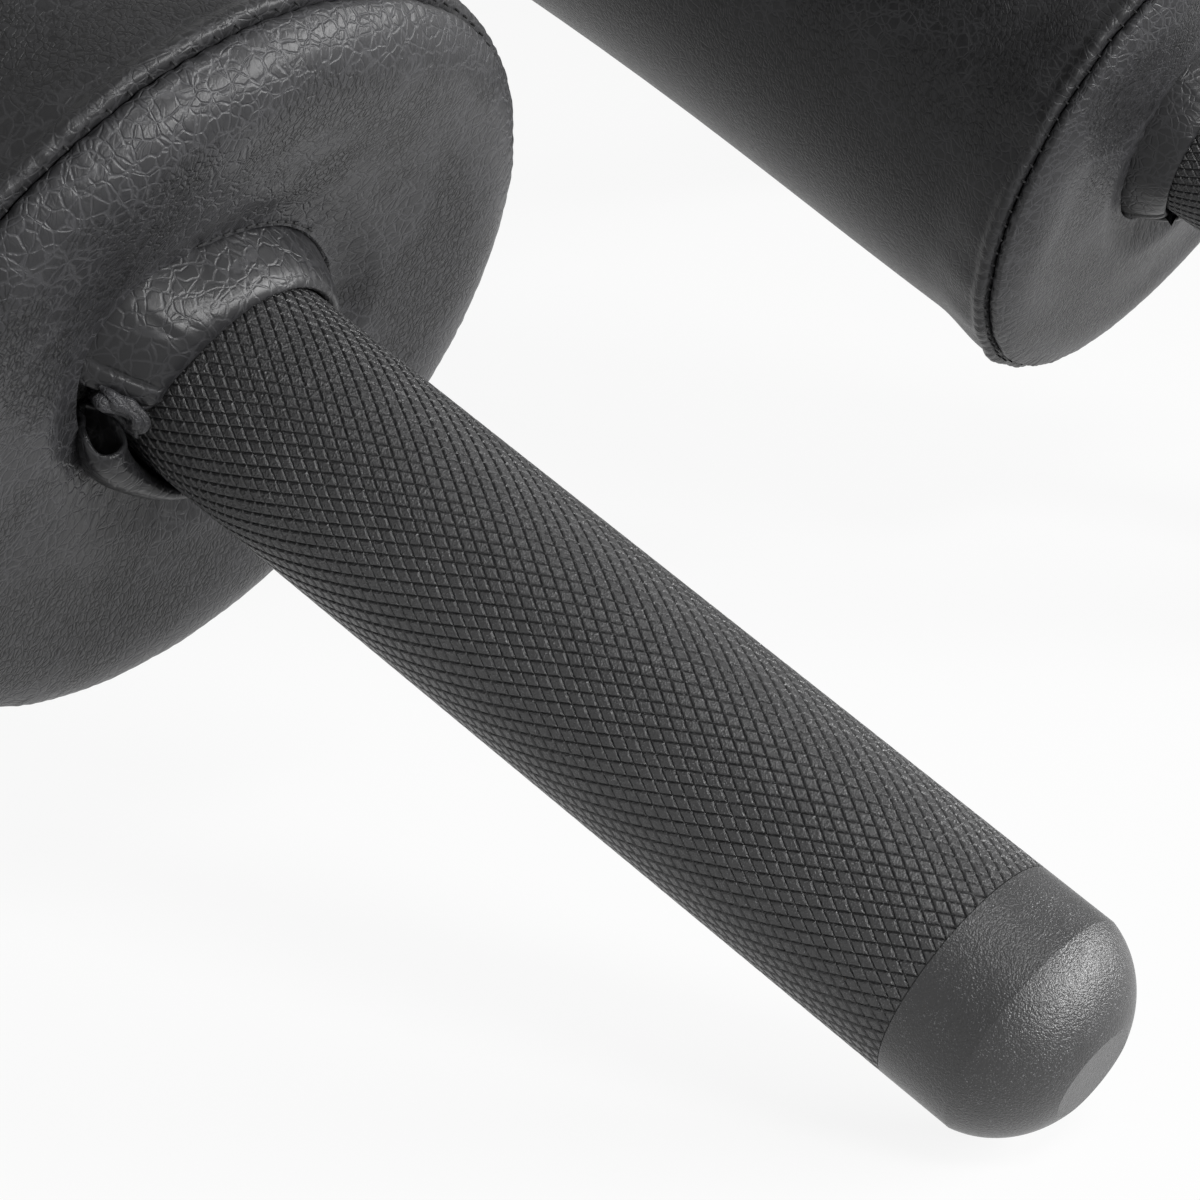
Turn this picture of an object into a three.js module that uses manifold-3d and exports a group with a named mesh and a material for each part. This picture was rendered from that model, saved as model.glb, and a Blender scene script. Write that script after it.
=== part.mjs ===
// Safety squat bar: a cambered shaft with a padded neck roll, two padded arms that end in knurled
// handles, and a turning plate sleeve on each end. Millimetres. +X runs along the bar, the arms
// reach towards -Y, and +Z is up. The bar lies as it does on a floor: on its two sleeve flanges and
// its two handle tips. The origin is on the floor under the middle of the bar's outline.
import * as THREE from 'three';
import { mergeVertices } from 'three/addons/utils/BufferGeometryUtils.js';
import Module from 'manifold-3d';

// Shaft
const shaftRadius = 19;
const shaftWall = 6;
const shaftStub = 33;
const camberDrop = 151;
const camberSlope = 60;
const bendRadius = 57;

// Arms and handles
const armSpacing = 297;
const armReach = 380;
const armToCamber = 75;
const armRadius = 16;
const armWall = 5;
const handleRadius = 16;
const handleLength = 190;
const handleFillet = 9.5;
const spigotLength = 40;
const spigotLead = 2;

// Shoulder pads
const padRadius = 55.6;
const padSeamRadius = 58.5;
const padRearGap = 5;
const padFrontSetback = 157;
const frontPuff = 6.4;
const rearPuff = 4.5;
const padFlare = 17;

// Neck pad
const neckPadRadius = 51;
const neckPadSeamRadius = 53.5;
const neckPadClearance = 2.5;
const neckPadFlare = 14;

// Leather of every pad
const leather = 1.6;
const seamBead = 2.2;
const seamSink = 1.5;
const padCrown = 0.8;

// Closure of each pad: an overlapping flap, and a split cuff with a textile tongue
const flapWidth = 44;
const flapThickness = 1.5;
const cuffRootRadius = 21;
const cuffRadius = 23.5;
const cuffDepth = 2;
const cuffRise = 9.3;
const cuffSplit = 6;
const cuffEdgeRound = 2.6;
const tongueRadius = 20.8;
const tongueRise = 7.5;

// Plate sleeves
const collarSpan = 1436;
const sleeveRadius = 25;
const sleeveBore = 19;
const sleeveLoadLength = 410;
const sleeveChamfer = 1.5;
const flangeRadius = 45;
const flangeThickness = 12;
const flangeBossRadius = 33;
const flangeBossLength = 10;
const flangeChamfer = 2;
const journalRadius = 14;
const journalChamfer = 1.5;
const shoulderRadius = 22;
const shoulderThickness = 8;
const washerThickness = 2;
const washerRadius = 24;
const outerWasherRadius = 18;
const innerBushingLength = 35;
const outerBushingLength = 30;
const ringThickness = 2;
const ringRadius = 17.5;
const ringGrooveDepth = 1.2;
const ringOpening = 8;
const spindleTail = 6;
const capThickness = 3;
const capPlug = 8;
const capRecess = 10;
const capChamfer = 1;

// Fits
const gap = 0.3;
const runningGap = 0.1;

// Sides of the faceted rounds
const roundSides = 20;
const handleSides = 24;
const padSides = 22;
const tubeSides = 20;
const bendSteps = 4;
const filletSteps = 4;

// Angles at which each closure lies: round an arm from the +X side over the top, and round the shaft
// from straight down towards the back. The right pad has been turned on its arm, so that its split
// shows on the outer side. The flap is sewn next to the slit and laps over it, so its middle lies
// further round.
const closureAngle = { right: 190, left: 255, neck: 10 };
const flapOffset = 20;

const radians = THREE.MathUtils.degToRad;

const wasm = await Module();
wasm.setup();

// Materials
const black = { color: 0x2b2b2c, roughness: 0.55, metalness: 0.3 };
const padSkin = { color: 0x232324, roughness: 0.5, metalness: 0 };
const padFill = { color: 0x3a3a38, roughness: 0.95, metalness: 0 };
const textile = { color: 0x141414, roughness: 1, metalness: 0 };
const chrome = { color: 0xc9cbce, roughness: 0.16, metalness: 1 };
const steel = { color: 0x8d9094, roughness: 0.35, metalness: 1 };
const bronze = { color: 0xa67c45, roughness: 0.4, metalness: 1 };
const plastic = { color: 0x1d1d1e, roughness: 0.5, metalness: 0 };

function piece(name, geometry, finish) {
  const mesh = new THREE.Mesh(geometry, new THREE.MeshStandardMaterial(finish));
  mesh.name = name;
  return mesh;
}

// Booleans
function solidOf(geometry) {
  const bare = geometry.clone();
  bare.deleteAttribute('normal');
  bare.deleteAttribute('uv');
  const merged = mergeVertices(bare);
  return new wasm.Manifold(new wasm.Mesh({
    numProp: 3,
    vertProperties: new Float32Array(merged.attributes.position.array),
    triVerts: new Uint32Array(merged.index.array),
  }));
}

function geometryOf(solid) {
  const mesh = solid.getMesh();
  const geometry = new THREE.BufferGeometry();
  geometry.setAttribute('position', new THREE.BufferAttribute(mesh.vertProperties, 3));
  geometry.setIndex(new THREE.BufferAttribute(mesh.triVerts, 1));
  geometry.computeVertexNormals();
  return geometry;
}

function cut(geometry, tool) {
  return geometryOf(solidOf(geometry).subtract(solidOf(tool)));
}

// A solid turned about +Z from points of radius and height, listed with the solid on their left.
// A facet, not an edge, faces down.
function turned(points, sides) {
  const outline = points.map(([radius, height]) => new THREE.Vector2(radius, height));
  const closed = outline[0].x > 0;
  if (closed) outline.push(outline[0].clone());
  return new THREE.LatheGeometry(outline, sides, Math.PI / sides).rotateX(Math.PI / 2);
}

function ring(inner, outer, from, to, sides) {
  return turned([[inner, from], [outer, from], [outer, to], [inner, to]], sides);
}

// The radius of a faceted bore whose flats clear a round of the given radius
function boreFor(radius, clearance, sides) {
  return (radius + clearance) / Math.cos(Math.PI / sides);
}

// A plate with the outline of a sector of a ring, centred on the +X side
function sector(inner, outer, halfAngle, length) {
  const outline = new THREE.Shape();
  outline.absarc(0, 0, outer, -halfAngle, halfAngle, false);
  outline.absarc(0, 0, inner, halfAngle, -halfAngle, true);
  const steps = Math.ceil(halfAngle / Math.PI * roundSides / 2) + 1;
  return new THREE.ExtrudeGeometry(outline, { depth: length, bevelEnabled: false, curveSegments: steps });
}

// The slope of the arms at which flanges and handle tips all touch the floor. The height of the
// shaft over the floor is worked out from either end, and the two are set equal.
const tipReach = armReach - handleFillet;
const tipRadius = handleRadius - handleFillet;
const alongShare = camberDrop * Math.cos(radians(armToCamber)) - tipReach;
const acrossShare = camberDrop * Math.sin(radians(armToCamber)) - tipRadius;
const reachOfBoth = Math.hypot(alongShare, acrossShare);
const armSlope = Math.PI - Math.asin((handleFillet - flangeRadius) / reachOfBoth)
  - Math.atan2(acrossShare, alongShare);
const camberAngle = armSlope + radians(armToCamber);
const camberDirection = new THREE.Vector3(0, -Math.cos(camberAngle), -Math.sin(camberAngle));

// Places along the bar, measured from its middle
const sleeveStart = collarSpan / 2;
const shoulderStart = sleeveStart - gap - washerThickness - gap - shoulderThickness;
const shaftEnd = shoulderStart - gap;
const plateSeat = sleeveStart + flangeBossLength + flangeThickness;
const sleeveEnd = plateSeat + sleeveLoadLength;

// A bent bar: straight runs with a round bend at each corner, given as stations along the middle line
class BentLine extends THREE.Curve {
  constructor(corners, radius, steps) {
    super();
    this.stations = [];
    corners.forEach((corner, index) => {
      if (index === 0 || index === corners.length - 1) {
        const neighbour = corners[index === 0 ? 1 : index - 1];
        const along = neighbour.clone().sub(corner).multiplyScalar(index === 0 ? 1 : -1).normalize();
        this.stations.push({ point: corner.clone(), along });
        return;
      }
      const before = corner.clone().sub(corners[index - 1]).normalize();
      const after = corners[index + 1].clone().sub(corner).normalize();
      const turn = before.angleTo(after);
      const toCentre = after.clone().sub(before).normalize();
      const centre = corner.clone().addScaledVector(toCentre, radius / Math.cos(turn / 2));
      const axis = before.clone().cross(after).normalize();
      const spoke = corner.clone().addScaledVector(before, -radius * Math.tan(turn / 2)).sub(centre);
      for (let step = 0; step <= steps; step += 1) {
        const angle = turn * step / steps;
        const point = spoke.clone().applyAxisAngle(axis, angle).add(centre);
        this.stations.push({ point, along: before.clone().applyAxisAngle(axis, angle) });
      }
    });
  }

  stationAt(share) {
    return this.stations[Math.round(share * (this.stations.length - 1))];
  }

  getPointAt(share) {
    return this.stationAt(share).point.clone();
  }

  getTangentAt(share) {
    return this.stationAt(share).along.clone();
  }
}

function tubeShape(outer, inner) {
  const shape = new THREE.Shape();
  shape.absarc(0, 0, outer, 0, Math.PI * 2, false);
  const hole = new THREE.Path();
  hole.absarc(0, 0, inner, 0, Math.PI * 2, true);
  shape.holes.push(hole);
  return shape;
}

function mainShaft() {
  const slopeRun = camberDrop / Math.tan(radians(camberSlope));
  const bendReach = bendRadius * Math.tan(radians(camberSlope) / 2);
  const lowCorner = shaftEnd - shaftStub - bendReach;
  const highCorner = lowCorner - slopeRun;
  const half = [[highCorner, 0], [lowCorner, camberDrop], [shaftEnd, camberDrop]];
  const place = ([along, drop], sign) => (
    new THREE.Vector3(sign * along, 0, 0).addScaledVector(camberDirection, drop));
  const corners = [
    ...half.map((corner) => place(corner, -1)).reverse(),
    ...half.map((corner) => place(corner, 1)),
  ];
  const path = new BentLine(corners, bendRadius, bendSteps);
  const geometry = new THREE.ExtrudeGeometry(tubeShape(shaftRadius, shaftRadius - shaftWall), {
    steps: path.stations.length - 1,
    extrudePath: path,
    curveSegments: tubeSides / 2,
  });
  return piece('main_shaft', geometry, black);
}

// The arm is a tube whose root is cut to the round of the shaft that it is welded to.
function armTube(side) {
  const handleStart = armReach - handleLength;
  const tube = new THREE.ExtrudeGeometry(tubeShape(armRadius, armRadius - armWall), {
    depth: handleStart - gap,
    bevelEnabled: false,
    curveSegments: tubeSides / 2,
  });
  const saddleRadius = boreFor(shaftRadius, gap, tubeSides);
  const saddle = new THREE.CylinderGeometry(saddleRadius, saddleRadius, armRadius * 3, tubeSides);
  saddle.rotateZ(Math.PI / 2);
  return piece(`${side}_arm_tube`, cut(tube, saddle), black);
}

// The handle is one turned bar: a spigot inside the arm, a straight barrel for the knurl, a rounded
// end and a small flat.
function handle(side) {
  const start = armReach - handleLength;
  const spigotRadius = armRadius - armWall - gap;
  const outline = [
    [0, start - spigotLength],
    [spigotRadius - spigotLead, start - spigotLength],
    [spigotRadius, start - spigotLength + spigotLead],
    [spigotRadius, start],
    [handleRadius, start],
  ];
  for (let step = 0; step <= filletSteps; step += 1) {
    const angle = Math.PI / 2 * step / filletSteps;
    outline.push([tipRadius + handleFillet * Math.cos(angle), tipReach + handleFillet * Math.sin(angle)]);
  }
  outline.push([0, armReach]);
  return piece(`${side}_handle`, turned(outline, handleSides), black);
}

// The side of a stuffed roll, between its two seams: drawn in to each stitch line, a rolled bead,
// then a flare that falls to the body, which has a low crown. The shares are of the flare's length
// and of its height. What lies under the skin follows the last share only.
const flareShares = [[0.3, 0.7], [0.6, 0.25], [1, 0]];

function rollSide(roll, inset) {
  const { radius, seamRadius, flare, from, to } = roll;
  const end = [[seamRadius - seamSink, 0], [seamRadius, seamBead]];
  flareShares.slice(inset > 0 ? -1 : 0).forEach(([along, height]) => {
    end.push([radius + (seamRadius - radius) * height, flare * along]);
  });
  const start = end.map(([r, along]) => [r - inset, from + along]);
  const finish = end.map(([r, along]) => [r - inset, to - along]).reverse();
  return [...start, [radius + padCrown - inset, (from + to) / 2], ...finish];
}

// The face of a stuffed roll, from its seam in to its hole: shares of the seam's radius, of the
// puff's height and of the skin's thickness. It bellies out near the rim and sinks to the middle.
// What lies under the skin, and a plain face, follow the short list.
const fullFaceShares = [
  [1, 0.28, 0.3], [0.985, 0.58, 0.8], [0.93, 0.84, 1], [0.8, 1, 1], [0.62, 0.95, 1], [0.5, 0.72, 1],
];
const plainFaceShares = [[0.985, 0.58, 0.8], [0.8, 1, 1]];

function rollFace(roll, end, shares, inset) {
  const line = [[roll.seamRadius - seamSink - inset, gap]];
  shares.forEach(([outShare, puffShare, skinShare]) => {
    line.push([(roll.seamRadius - inset) * outShare, end.puff * puffShare - inset * skinShare]);
  });
  line.push([end.hole, end.sink - inset]);
  return line;
}

function faceDisc(roll, end) {
  const outer = rollFace(roll, end, end.shares, 0);
  const inner = rollFace(roll, end, plainFaceShares, leather).reverse();
  return turned([...outer, ...inner], padSides);
}

function rollCover(roll) {
  return turned([...rollSide(roll, 0), ...rollSide(roll, leather).reverse()], padSides);
}

// Foam that fills a roll under its skin, with a bore for the tube that carries it
function rollFoam(roll, start, finish, bore) {
  const under = leather + gap;
  const face = (end, place, sign) => {
    const line = rollFace(roll, end, plainFaceShares, under).slice(1);
    if (end.floor) line.push([end.hole, end.floor]);
    line.push([bore, line[line.length - 1][1]]);
    return line.map(([radius, height]) => [radius, place + sign * height]);
  };
  return turned([
    ...face(start, roll.from, -1).reverse(),
    ...rollSide(roll, under),
    ...face(finish, roll.to, 1),
  ], padSides);
}

function closureFlap(roll, angle) {
  const inner = roll.radius + padCrown + gap;
  const length = roll.to - roll.from - 2 * roll.flare;
  const flap = sector(inner, inner + flapThickness, flapWidth / 2 / inner, length);
  return flap.translate(0, 0, roll.from + roll.flare).rotateZ(radians(angle + flapOffset));
}

// The cuff is a leather collar round the handle, split where the closure runs.
function splitCuff(roll, angle) {
  const inner = handleRadius + gap;
  const middle = (cuffDepth + cuffRise) / 2;
  const outline = [
    [inner, -cuffDepth],
    [cuffRootRadius, -cuffDepth],
    [cuffRootRadius, cuffDepth],
    [cuffRadius, middle],
    [cuffRadius - cuffEdgeRound / 3, cuffRise - cuffEdgeRound],
    [(inner + cuffRadius) / 2 + cuffEdgeRound / 3, cuffRise - cuffEdgeRound / 3],
    [(inner + cuffRadius) / 2 - cuffEdgeRound / 3, cuffRise],
    [inner, cuffRise - cuffEdgeRound / 2],
  ];
  const collar = turned(outline, padSides);
  const split = new THREE.BoxGeometry(cuffRadius * 2, cuffSplit, (cuffRise + cuffDepth) * 2);
  split.translate(cuffRadius, 0, 0);
  return cut(collar, split).rotateZ(radians(angle)).translate(0, 0, roll.to);
}

function cuffTongue(roll, angle) {
  const inner = handleRadius + gap;
  const halfWidth = cuffSplit / 2 - gap;
  const tongue = sector(inner, tongueRadius, halfWidth / tongueRadius, tongueRise + cuffDepth);
  return tongue.translate(0, 0, roll.to - cuffDepth).rotateZ(radians(angle));
}

// Neck pad, along X in the finished bar
function neckPad() {
  const seamPlane = armSpacing / 2 - padSeamRadius - neckPadClearance - rearPuff;
  const roll = {
    radius: neckPadRadius, seamRadius: neckPadSeamRadius, flare: neckPadFlare, from: -seamPlane, to: seamPlane,
  };
  const bore = boreFor(shaftRadius, gap, padSides);
  const end = { shares: plainFaceShares, puff: rearPuff, hole: bore + gap, sink: leather + gap };
  const leftDisc = faceDisc(roll, end).translate(0, 0, roll.to);
  const rightDisc = faceDisc(roll, end).rotateX(Math.PI).translate(0, 0, roll.from);
  const group = new THREE.Group();
  group.add(piece('neck_pad_cover', rollCover(roll), padSkin));
  group.add(piece('neck_pad_foam', rollFoam(roll, end, end, bore), padFill));
  group.add(piece('neck_pad_left_disc', leftDisc, padSkin));
  group.add(piece('neck_pad_right_disc', rightDisc, padSkin));
  group.add(piece('neck_pad_closure_flap', closureFlap(roll, closureAngle.neck), padSkin));
  group.rotation.y = Math.PI / 2;
  return group;
}

// Arm, handle and shoulder pad of one side, along the arm's own +Z
function armGroup(side, sign) {
  const angle = closureAngle[side];
  const roll = {
    radius: padRadius,
    seamRadius: padSeamRadius,
    flare: padFlare,
    from: shaftRadius + padRearGap + rearPuff,
    to: armReach - padFrontSetback,
  };
  const bore = boreFor(Math.max(armRadius, handleRadius), gap, padSides);
  const rear = { shares: plainFaceShares, puff: rearPuff, hole: bore + gap, sink: leather + gap };
  const front = {
    shares: fullFaceShares,
    puff: frontPuff,
    hole: boreFor(cuffRootRadius, gap, padSides),
    sink: cuffDepth,
    floor: -cuffDepth - gap,
  };
  const frontDisc = faceDisc(roll, front).translate(0, 0, roll.to);
  const rearDisc = faceDisc(roll, rear).rotateX(Math.PI).translate(0, 0, roll.from);
  const group = new THREE.Group();
  group.add(armTube(side));
  group.add(handle(side));
  group.add(piece(`${side}_pad_cover`, rollCover(roll), padSkin));
  group.add(piece(`${side}_pad_foam`, rollFoam(roll, rear, front, bore), padFill));
  group.add(piece(`${side}_pad_front_disc`, frontDisc, padSkin));
  group.add(piece(`${side}_pad_rear_disc`, rearDisc, padSkin));
  group.add(piece(`${side}_pad_closure_flap`, closureFlap(roll, angle), padSkin));
  group.add(piece(`${side}_pad_cuff`, splitCuff(roll, angle), padSkin));
  group.add(piece(`${side}_cuff_tongue`, cuffTongue(roll, angle), textile));
  group.rotation.x = Math.PI / 2 + armSlope;
  group.position.x = sign * armSpacing / 2;
  return group;
}

// One plate sleeve with its bearings. Heights are distances from the middle of the bar.
function sleeveGroup(side, turn) {
  const name = (part) => `${side}_sleeve_${part}`;
  const washerStart = shoulderStart + shoulderThickness + gap;
  const washerBore = boreFor(journalRadius, runningGap, roundSides);
  const spindleEnd = sleeveEnd - capRecess - gap;
  const grooveStart = spindleEnd - spindleTail - ringThickness - 2 * gap;
  const grooveRadius = journalRadius - ringGrooveDepth;
  const outerWasherStart = grooveStart + gap - gap - washerThickness;
  const outerBushingStart = outerWasherStart - gap - outerBushingLength;
  const bushingOuter = (sleeveBore - gap) * Math.cos(Math.PI / roundSides);

  const spindle = turned([
    [0, shaftEnd - shaftStub + gap],
    [shaftRadius - shaftWall - gap - journalChamfer, shaftEnd - shaftStub + gap],
    [shaftRadius - shaftWall - gap, shaftEnd - shaftStub + gap + journalChamfer],
    [shaftRadius - shaftWall - gap, shoulderStart],
    [shoulderRadius - journalChamfer, shoulderStart],
    [shoulderRadius, shoulderStart + journalChamfer],
    [shoulderRadius, shoulderStart + shoulderThickness],
    [journalRadius, shoulderStart + shoulderThickness],
    [journalRadius, grooveStart],
    [grooveRadius, grooveStart],
    [grooveRadius, spindleEnd - spindleTail],
    [journalRadius, spindleEnd - spindleTail],
    [journalRadius, spindleEnd - journalChamfer],
    [journalRadius - journalChamfer, spindleEnd],
    [0, spindleEnd],
  ], roundSides);

  const tube = turned([
    [sleeveBore, sleeveStart],
    [sleeveRadius, sleeveStart],
    [sleeveRadius, sleeveEnd - sleeveChamfer],
    [sleeveRadius - sleeveChamfer, sleeveEnd],
    [sleeveBore, sleeveEnd],
  ], roundSides);

  const flangeStart = plateSeat - flangeThickness;
  const flange = turned([
    [boreFor(sleeveRadius, gap, roundSides), sleeveStart],
    [flangeBossRadius - flangeChamfer, sleeveStart],
    [flangeBossRadius, sleeveStart + flangeChamfer],
    [flangeBossRadius, flangeStart],
    [flangeRadius - flangeChamfer, flangeStart],
    [flangeRadius, flangeStart + flangeChamfer],
    [flangeRadius, plateSeat - flangeChamfer],
    [flangeRadius - flangeChamfer, plateSeat],
    [boreFor(sleeveRadius, gap, roundSides), plateSeat],
  ], roundSides);

  const cap = turned([
    [0, sleeveEnd - capPlug],
    [bushingOuter, sleeveEnd - capPlug],
    [bushingOuter, sleeveEnd + gap],
    [sleeveRadius - sleeveChamfer, sleeveEnd + gap],
    [sleeveRadius - sleeveChamfer, sleeveEnd + capThickness - capChamfer],
    [sleeveRadius - sleeveChamfer - capChamfer, sleeveEnd + capThickness],
    [0, sleeveEnd + capThickness],
  ], roundSides);

  const ringBore = boreFor(grooveRadius, gap, roundSides);
  const circlip = sector(ringBore, ringRadius, Math.PI - ringOpening / 2 / ringRadius, ringThickness);
  circlip.translate(0, 0, grooveStart + gap);

  const bushing = (start, length) => ring(washerBore, bushingOuter, start, start + length, roundSides);
  const washer = (outer, start) => ring(washerBore, outer, start, start + washerThickness, roundSides);

  const group = new THREE.Group();
  group.add(piece(name('spindle'), spindle, steel));
  group.add(piece(name('inner_washer'), washer(washerRadius, washerStart), bronze));
  group.add(piece(name('tube'), tube, chrome));
  group.add(piece(name('flange'), flange, chrome));
  group.add(piece(name('inner_bushing'), bushing(sleeveStart, innerBushingLength), bronze));
  group.add(piece(name('outer_bushing'), bushing(outerBushingStart, outerBushingLength), bronze));
  group.add(piece(name('outer_washer'), washer(outerWasherRadius, outerWasherStart), bronze));
  group.add(piece(name('retaining_ring'), circlip, steel));
  group.add(piece(name('end_cap'), cap, plastic));
  group.rotation.set(0, Math.PI / 2, turn, 'ZYX');
  group.position.copy(camberDirection).multiplyScalar(camberDrop);
  return group;
}

const bar = new THREE.Group();
bar.add(mainShaft());
bar.add(neckPad());
bar.add(armGroup('right', -1));
bar.add(armGroup('left', 1));
bar.add(sleeveGroup('right', Math.PI));
bar.add(sleeveGroup('left', 0));

// The lowest point comes to the floor, and the middle of the outline over the origin.
bar.updateMatrixWorld(true);
const outline = new THREE.Box3().setFromObject(bar, true);
const middle = outline.getCenter(new THREE.Vector3());
bar.position.set(-middle.x, -middle.y, -outline.min.z);

export default bar;
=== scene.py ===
# %% [markdown]
# # A safety squat bar, dressed on its CAD frame
# The bar is a bent steel shaft with a padded neck roll, two padded arms that end in knurled
# handles, and a turning plate sleeve on each end. The CAD model says where every piece is, and this
# file gives each piece the surface that a person sees and touches. Everything is in metres.

# %% Load the frame
import math

import bpy
import numpy as np
from mathutils import Matrix, Vector


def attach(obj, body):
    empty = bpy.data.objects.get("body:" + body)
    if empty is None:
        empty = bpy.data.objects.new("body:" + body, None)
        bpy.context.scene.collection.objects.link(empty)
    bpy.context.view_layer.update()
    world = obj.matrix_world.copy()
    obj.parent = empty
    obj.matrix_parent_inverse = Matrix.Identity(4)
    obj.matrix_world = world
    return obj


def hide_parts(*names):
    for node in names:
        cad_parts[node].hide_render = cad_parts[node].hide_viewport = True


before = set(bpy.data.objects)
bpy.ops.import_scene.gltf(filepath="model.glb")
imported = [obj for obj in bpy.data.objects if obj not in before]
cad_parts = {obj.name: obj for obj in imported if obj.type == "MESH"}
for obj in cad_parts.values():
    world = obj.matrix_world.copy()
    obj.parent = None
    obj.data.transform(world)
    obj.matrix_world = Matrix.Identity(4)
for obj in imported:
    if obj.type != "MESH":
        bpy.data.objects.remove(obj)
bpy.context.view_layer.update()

# %% [markdown]
# ## Camera
# The picture is a close-up of one handle, taken from above its tip. A long lens was worked out from
# the way the round edges of the handle and of the pads look, so the camera is given as a place, a
# direction and that lens. It could be aimed at an empty by a constraint, but plain numbers are
# easier to check.

# %% Camera
HANDLE_MARK = Vector((-0.1485, -0.18577, 0.02082))
CAMERA_OFFSET = Vector((-0.42032, -0.23055, 0.16537))
CAMERA_AIM = Vector((0.80382, 0.54376, -0.24124))
LENS = 123.42

bpy.ops.object.select_all(action="DESELECT")
bpy.ops.object.camera_add(location=HANDLE_MARK + CAMERA_OFFSET)
camera = bpy.context.active_object
camera.name = "camera"
camera.rotation_euler = CAMERA_AIM.to_track_quat("-Z", "Y").to_euler()
camera.data.sensor_width = 36
camera.data.lens = LENS
camera.data.clip_start = 0.01
bpy.context.scene.camera = camera
bpy.context.scene.view_settings.view_transform = "Standard"
print("camera at", [round(value, 3) for value in camera.location])

# %% [markdown]
# ## Shader maths in plain Python
# A finish in Blender is a graph of nodes. Written out one node at a time it is hard to read, so one
# small class wraps a socket and lets `+`, `-` and `*` add the Math nodes, and another adds any
# other node from its type, its settings and what goes into its sockets.

# %% Wires and finishes
class Wire:
    """One output socket of a finish. Sums written on wires become Math nodes."""

    def __init__(self, finish, socket):
        self.finish = finish
        self.socket = socket

    def math(self, operation, *others):
        values = dict(enumerate((self, *others)))
        return self.finish.node("ShaderNodeMath", {"operation": operation}, values)

    def __add__(self, other):
        return self.math("ADD", other)

    def __mul__(self, other):
        return self.math("MULTIPLY", other)

    def __sub__(self, other):
        return self.math("SUBTRACT", other)

    def __rsub__(self, other):
        return (self * -1.0).math("ADD", other)

    __radd__ = __add__
    __rmul__ = __mul__


class Finish:
    """A material that is put together in code."""

    def __init__(self, name):
        self.material = bpy.data.materials.new(name)
        self.material.use_nodes = True
        self.nodes = self.material.node_tree.nodes
        self.links = self.material.node_tree.links
        self.nodes.clear()

    def node(self, kind, settings, sockets, output=0):
        made = self.nodes.new(kind)
        for key, value in settings.items():
            setattr(made, key, value)
        for key, value in sockets.items():
            if isinstance(value, Wire):
                self.links.new(value.socket, made.inputs[key])
            else:
                made.inputs[key].default_value = value
        return Wire(self, made.outputs[output]) if made.outputs else None

    def place(self):
        """The point on the piece, in metres."""
        return self.node("ShaderNodeTexCoord", {}, {}, "Object")

    def unrolled(self):
        """The piece's own map: metres round it and metres along its outline."""
        return self.node("ShaderNodeUVMap", {"uv_map": UNROLLED}, {})

    def stretched(self, point, scale, turned=(0.0, 0.0, 0.0)):
        return self.node("ShaderNodeMapping", {}, {"Vector": point, "Rotation": turned, "Scale": scale})

    def noise(self, point, size, detail=2.0, roughness=0.5, output="Factor"):
        sockets = {"Vector": point, "Scale": 1 / size, "Detail": detail, "Roughness": roughness}
        return self.node("ShaderNodeTexNoise", {}, sockets, 0 if output == "Factor" else 1)

    def cells(self, point, size):
        """How far the point is from the nearest edge of a cell."""
        sockets = {"Vector": point, "Scale": 1 / size}
        return self.node("ShaderNodeTexVoronoi", {"feature": "DISTANCE_TO_EDGE"}, sockets, "Distance")

    def between(self, value, low, high):
        """0 where value is low, 1 where it is high, eased at both ends."""
        sockets = {"Value": value, "From Min": low, "From Max": high}
        return self.node("ShaderNodeMapRange", {"interpolation_type": "SMOOTHSTEP"}, sockets)

    def tint(self, share, first, second):
        """Two colours mixed. Each is three numbers or a wire."""
        first, second = (each if isinstance(each, Wire) else (*each, 1) for each in (first, second))
        return self.node("ShaderNodeMix", {"data_type": "RGBA"}, {0: share, 6: first, 7: second}, 2)

    def warped(self, point, size, reach):
        """point pushed about by a soft noise, so that a pattern on it isn't regular."""
        push = self.noise(point, size, output="Color")
        centred = self.node("ShaderNodeVectorMath", {"operation": "SUBTRACT"}, {0: push, 1: (0.5, 0.5, 0.5)})
        scaled = self.node("ShaderNodeVectorMath", {"operation": "SCALE"}, {0: centred, "Scale": reach})
        return self.node("ShaderNodeVectorMath", {"operation": "ADD"}, {0: point, 1: scaled})

    def raised(self, height, depth):
        """A surface that stands up by depth metres where height is 1."""
        return self.node("ShaderNodeBump", {}, {"Height": height, "Distance": depth, "Strength": 1.0})

    def surface(self, **sockets):
        named = {key.replace("_", " "): value for key, value in sockets.items()}
        shader = self.node("ShaderNodeBsdfPrincipled", {}, named)
        self.node("ShaderNodeOutputMaterial", {}, {"Surface": shader})
        return self.material


UNROLLED = "unrolled"
print("wires and finishes are ready")

# %% [markdown]
# ## Floor, daylight and lamps
# The picture was taken against plain white. Three soft lamps stand in for the studio's: a wide one in
# front of the handle tips and a little above them, lower at its left end, and two small ones on the
# left, one low and one high. A backdrop card could do, but a floor that runs to the horizon under a
# white world looks right from every side. The floor looks nearly white to the camera and keeps the
# shadow, because part of what the camera sees is its real, lit surface.

# %% Floor, world and lamps
FLOOR_SHARE_LIT = 0.11
WORLD_LIGHT = 0.13

bpy.ops.object.select_all(action="DESELECT")
bpy.ops.mesh.primitive_plane_add(size=120)
floor = bpy.context.active_object
floor.name = "floor"

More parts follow.
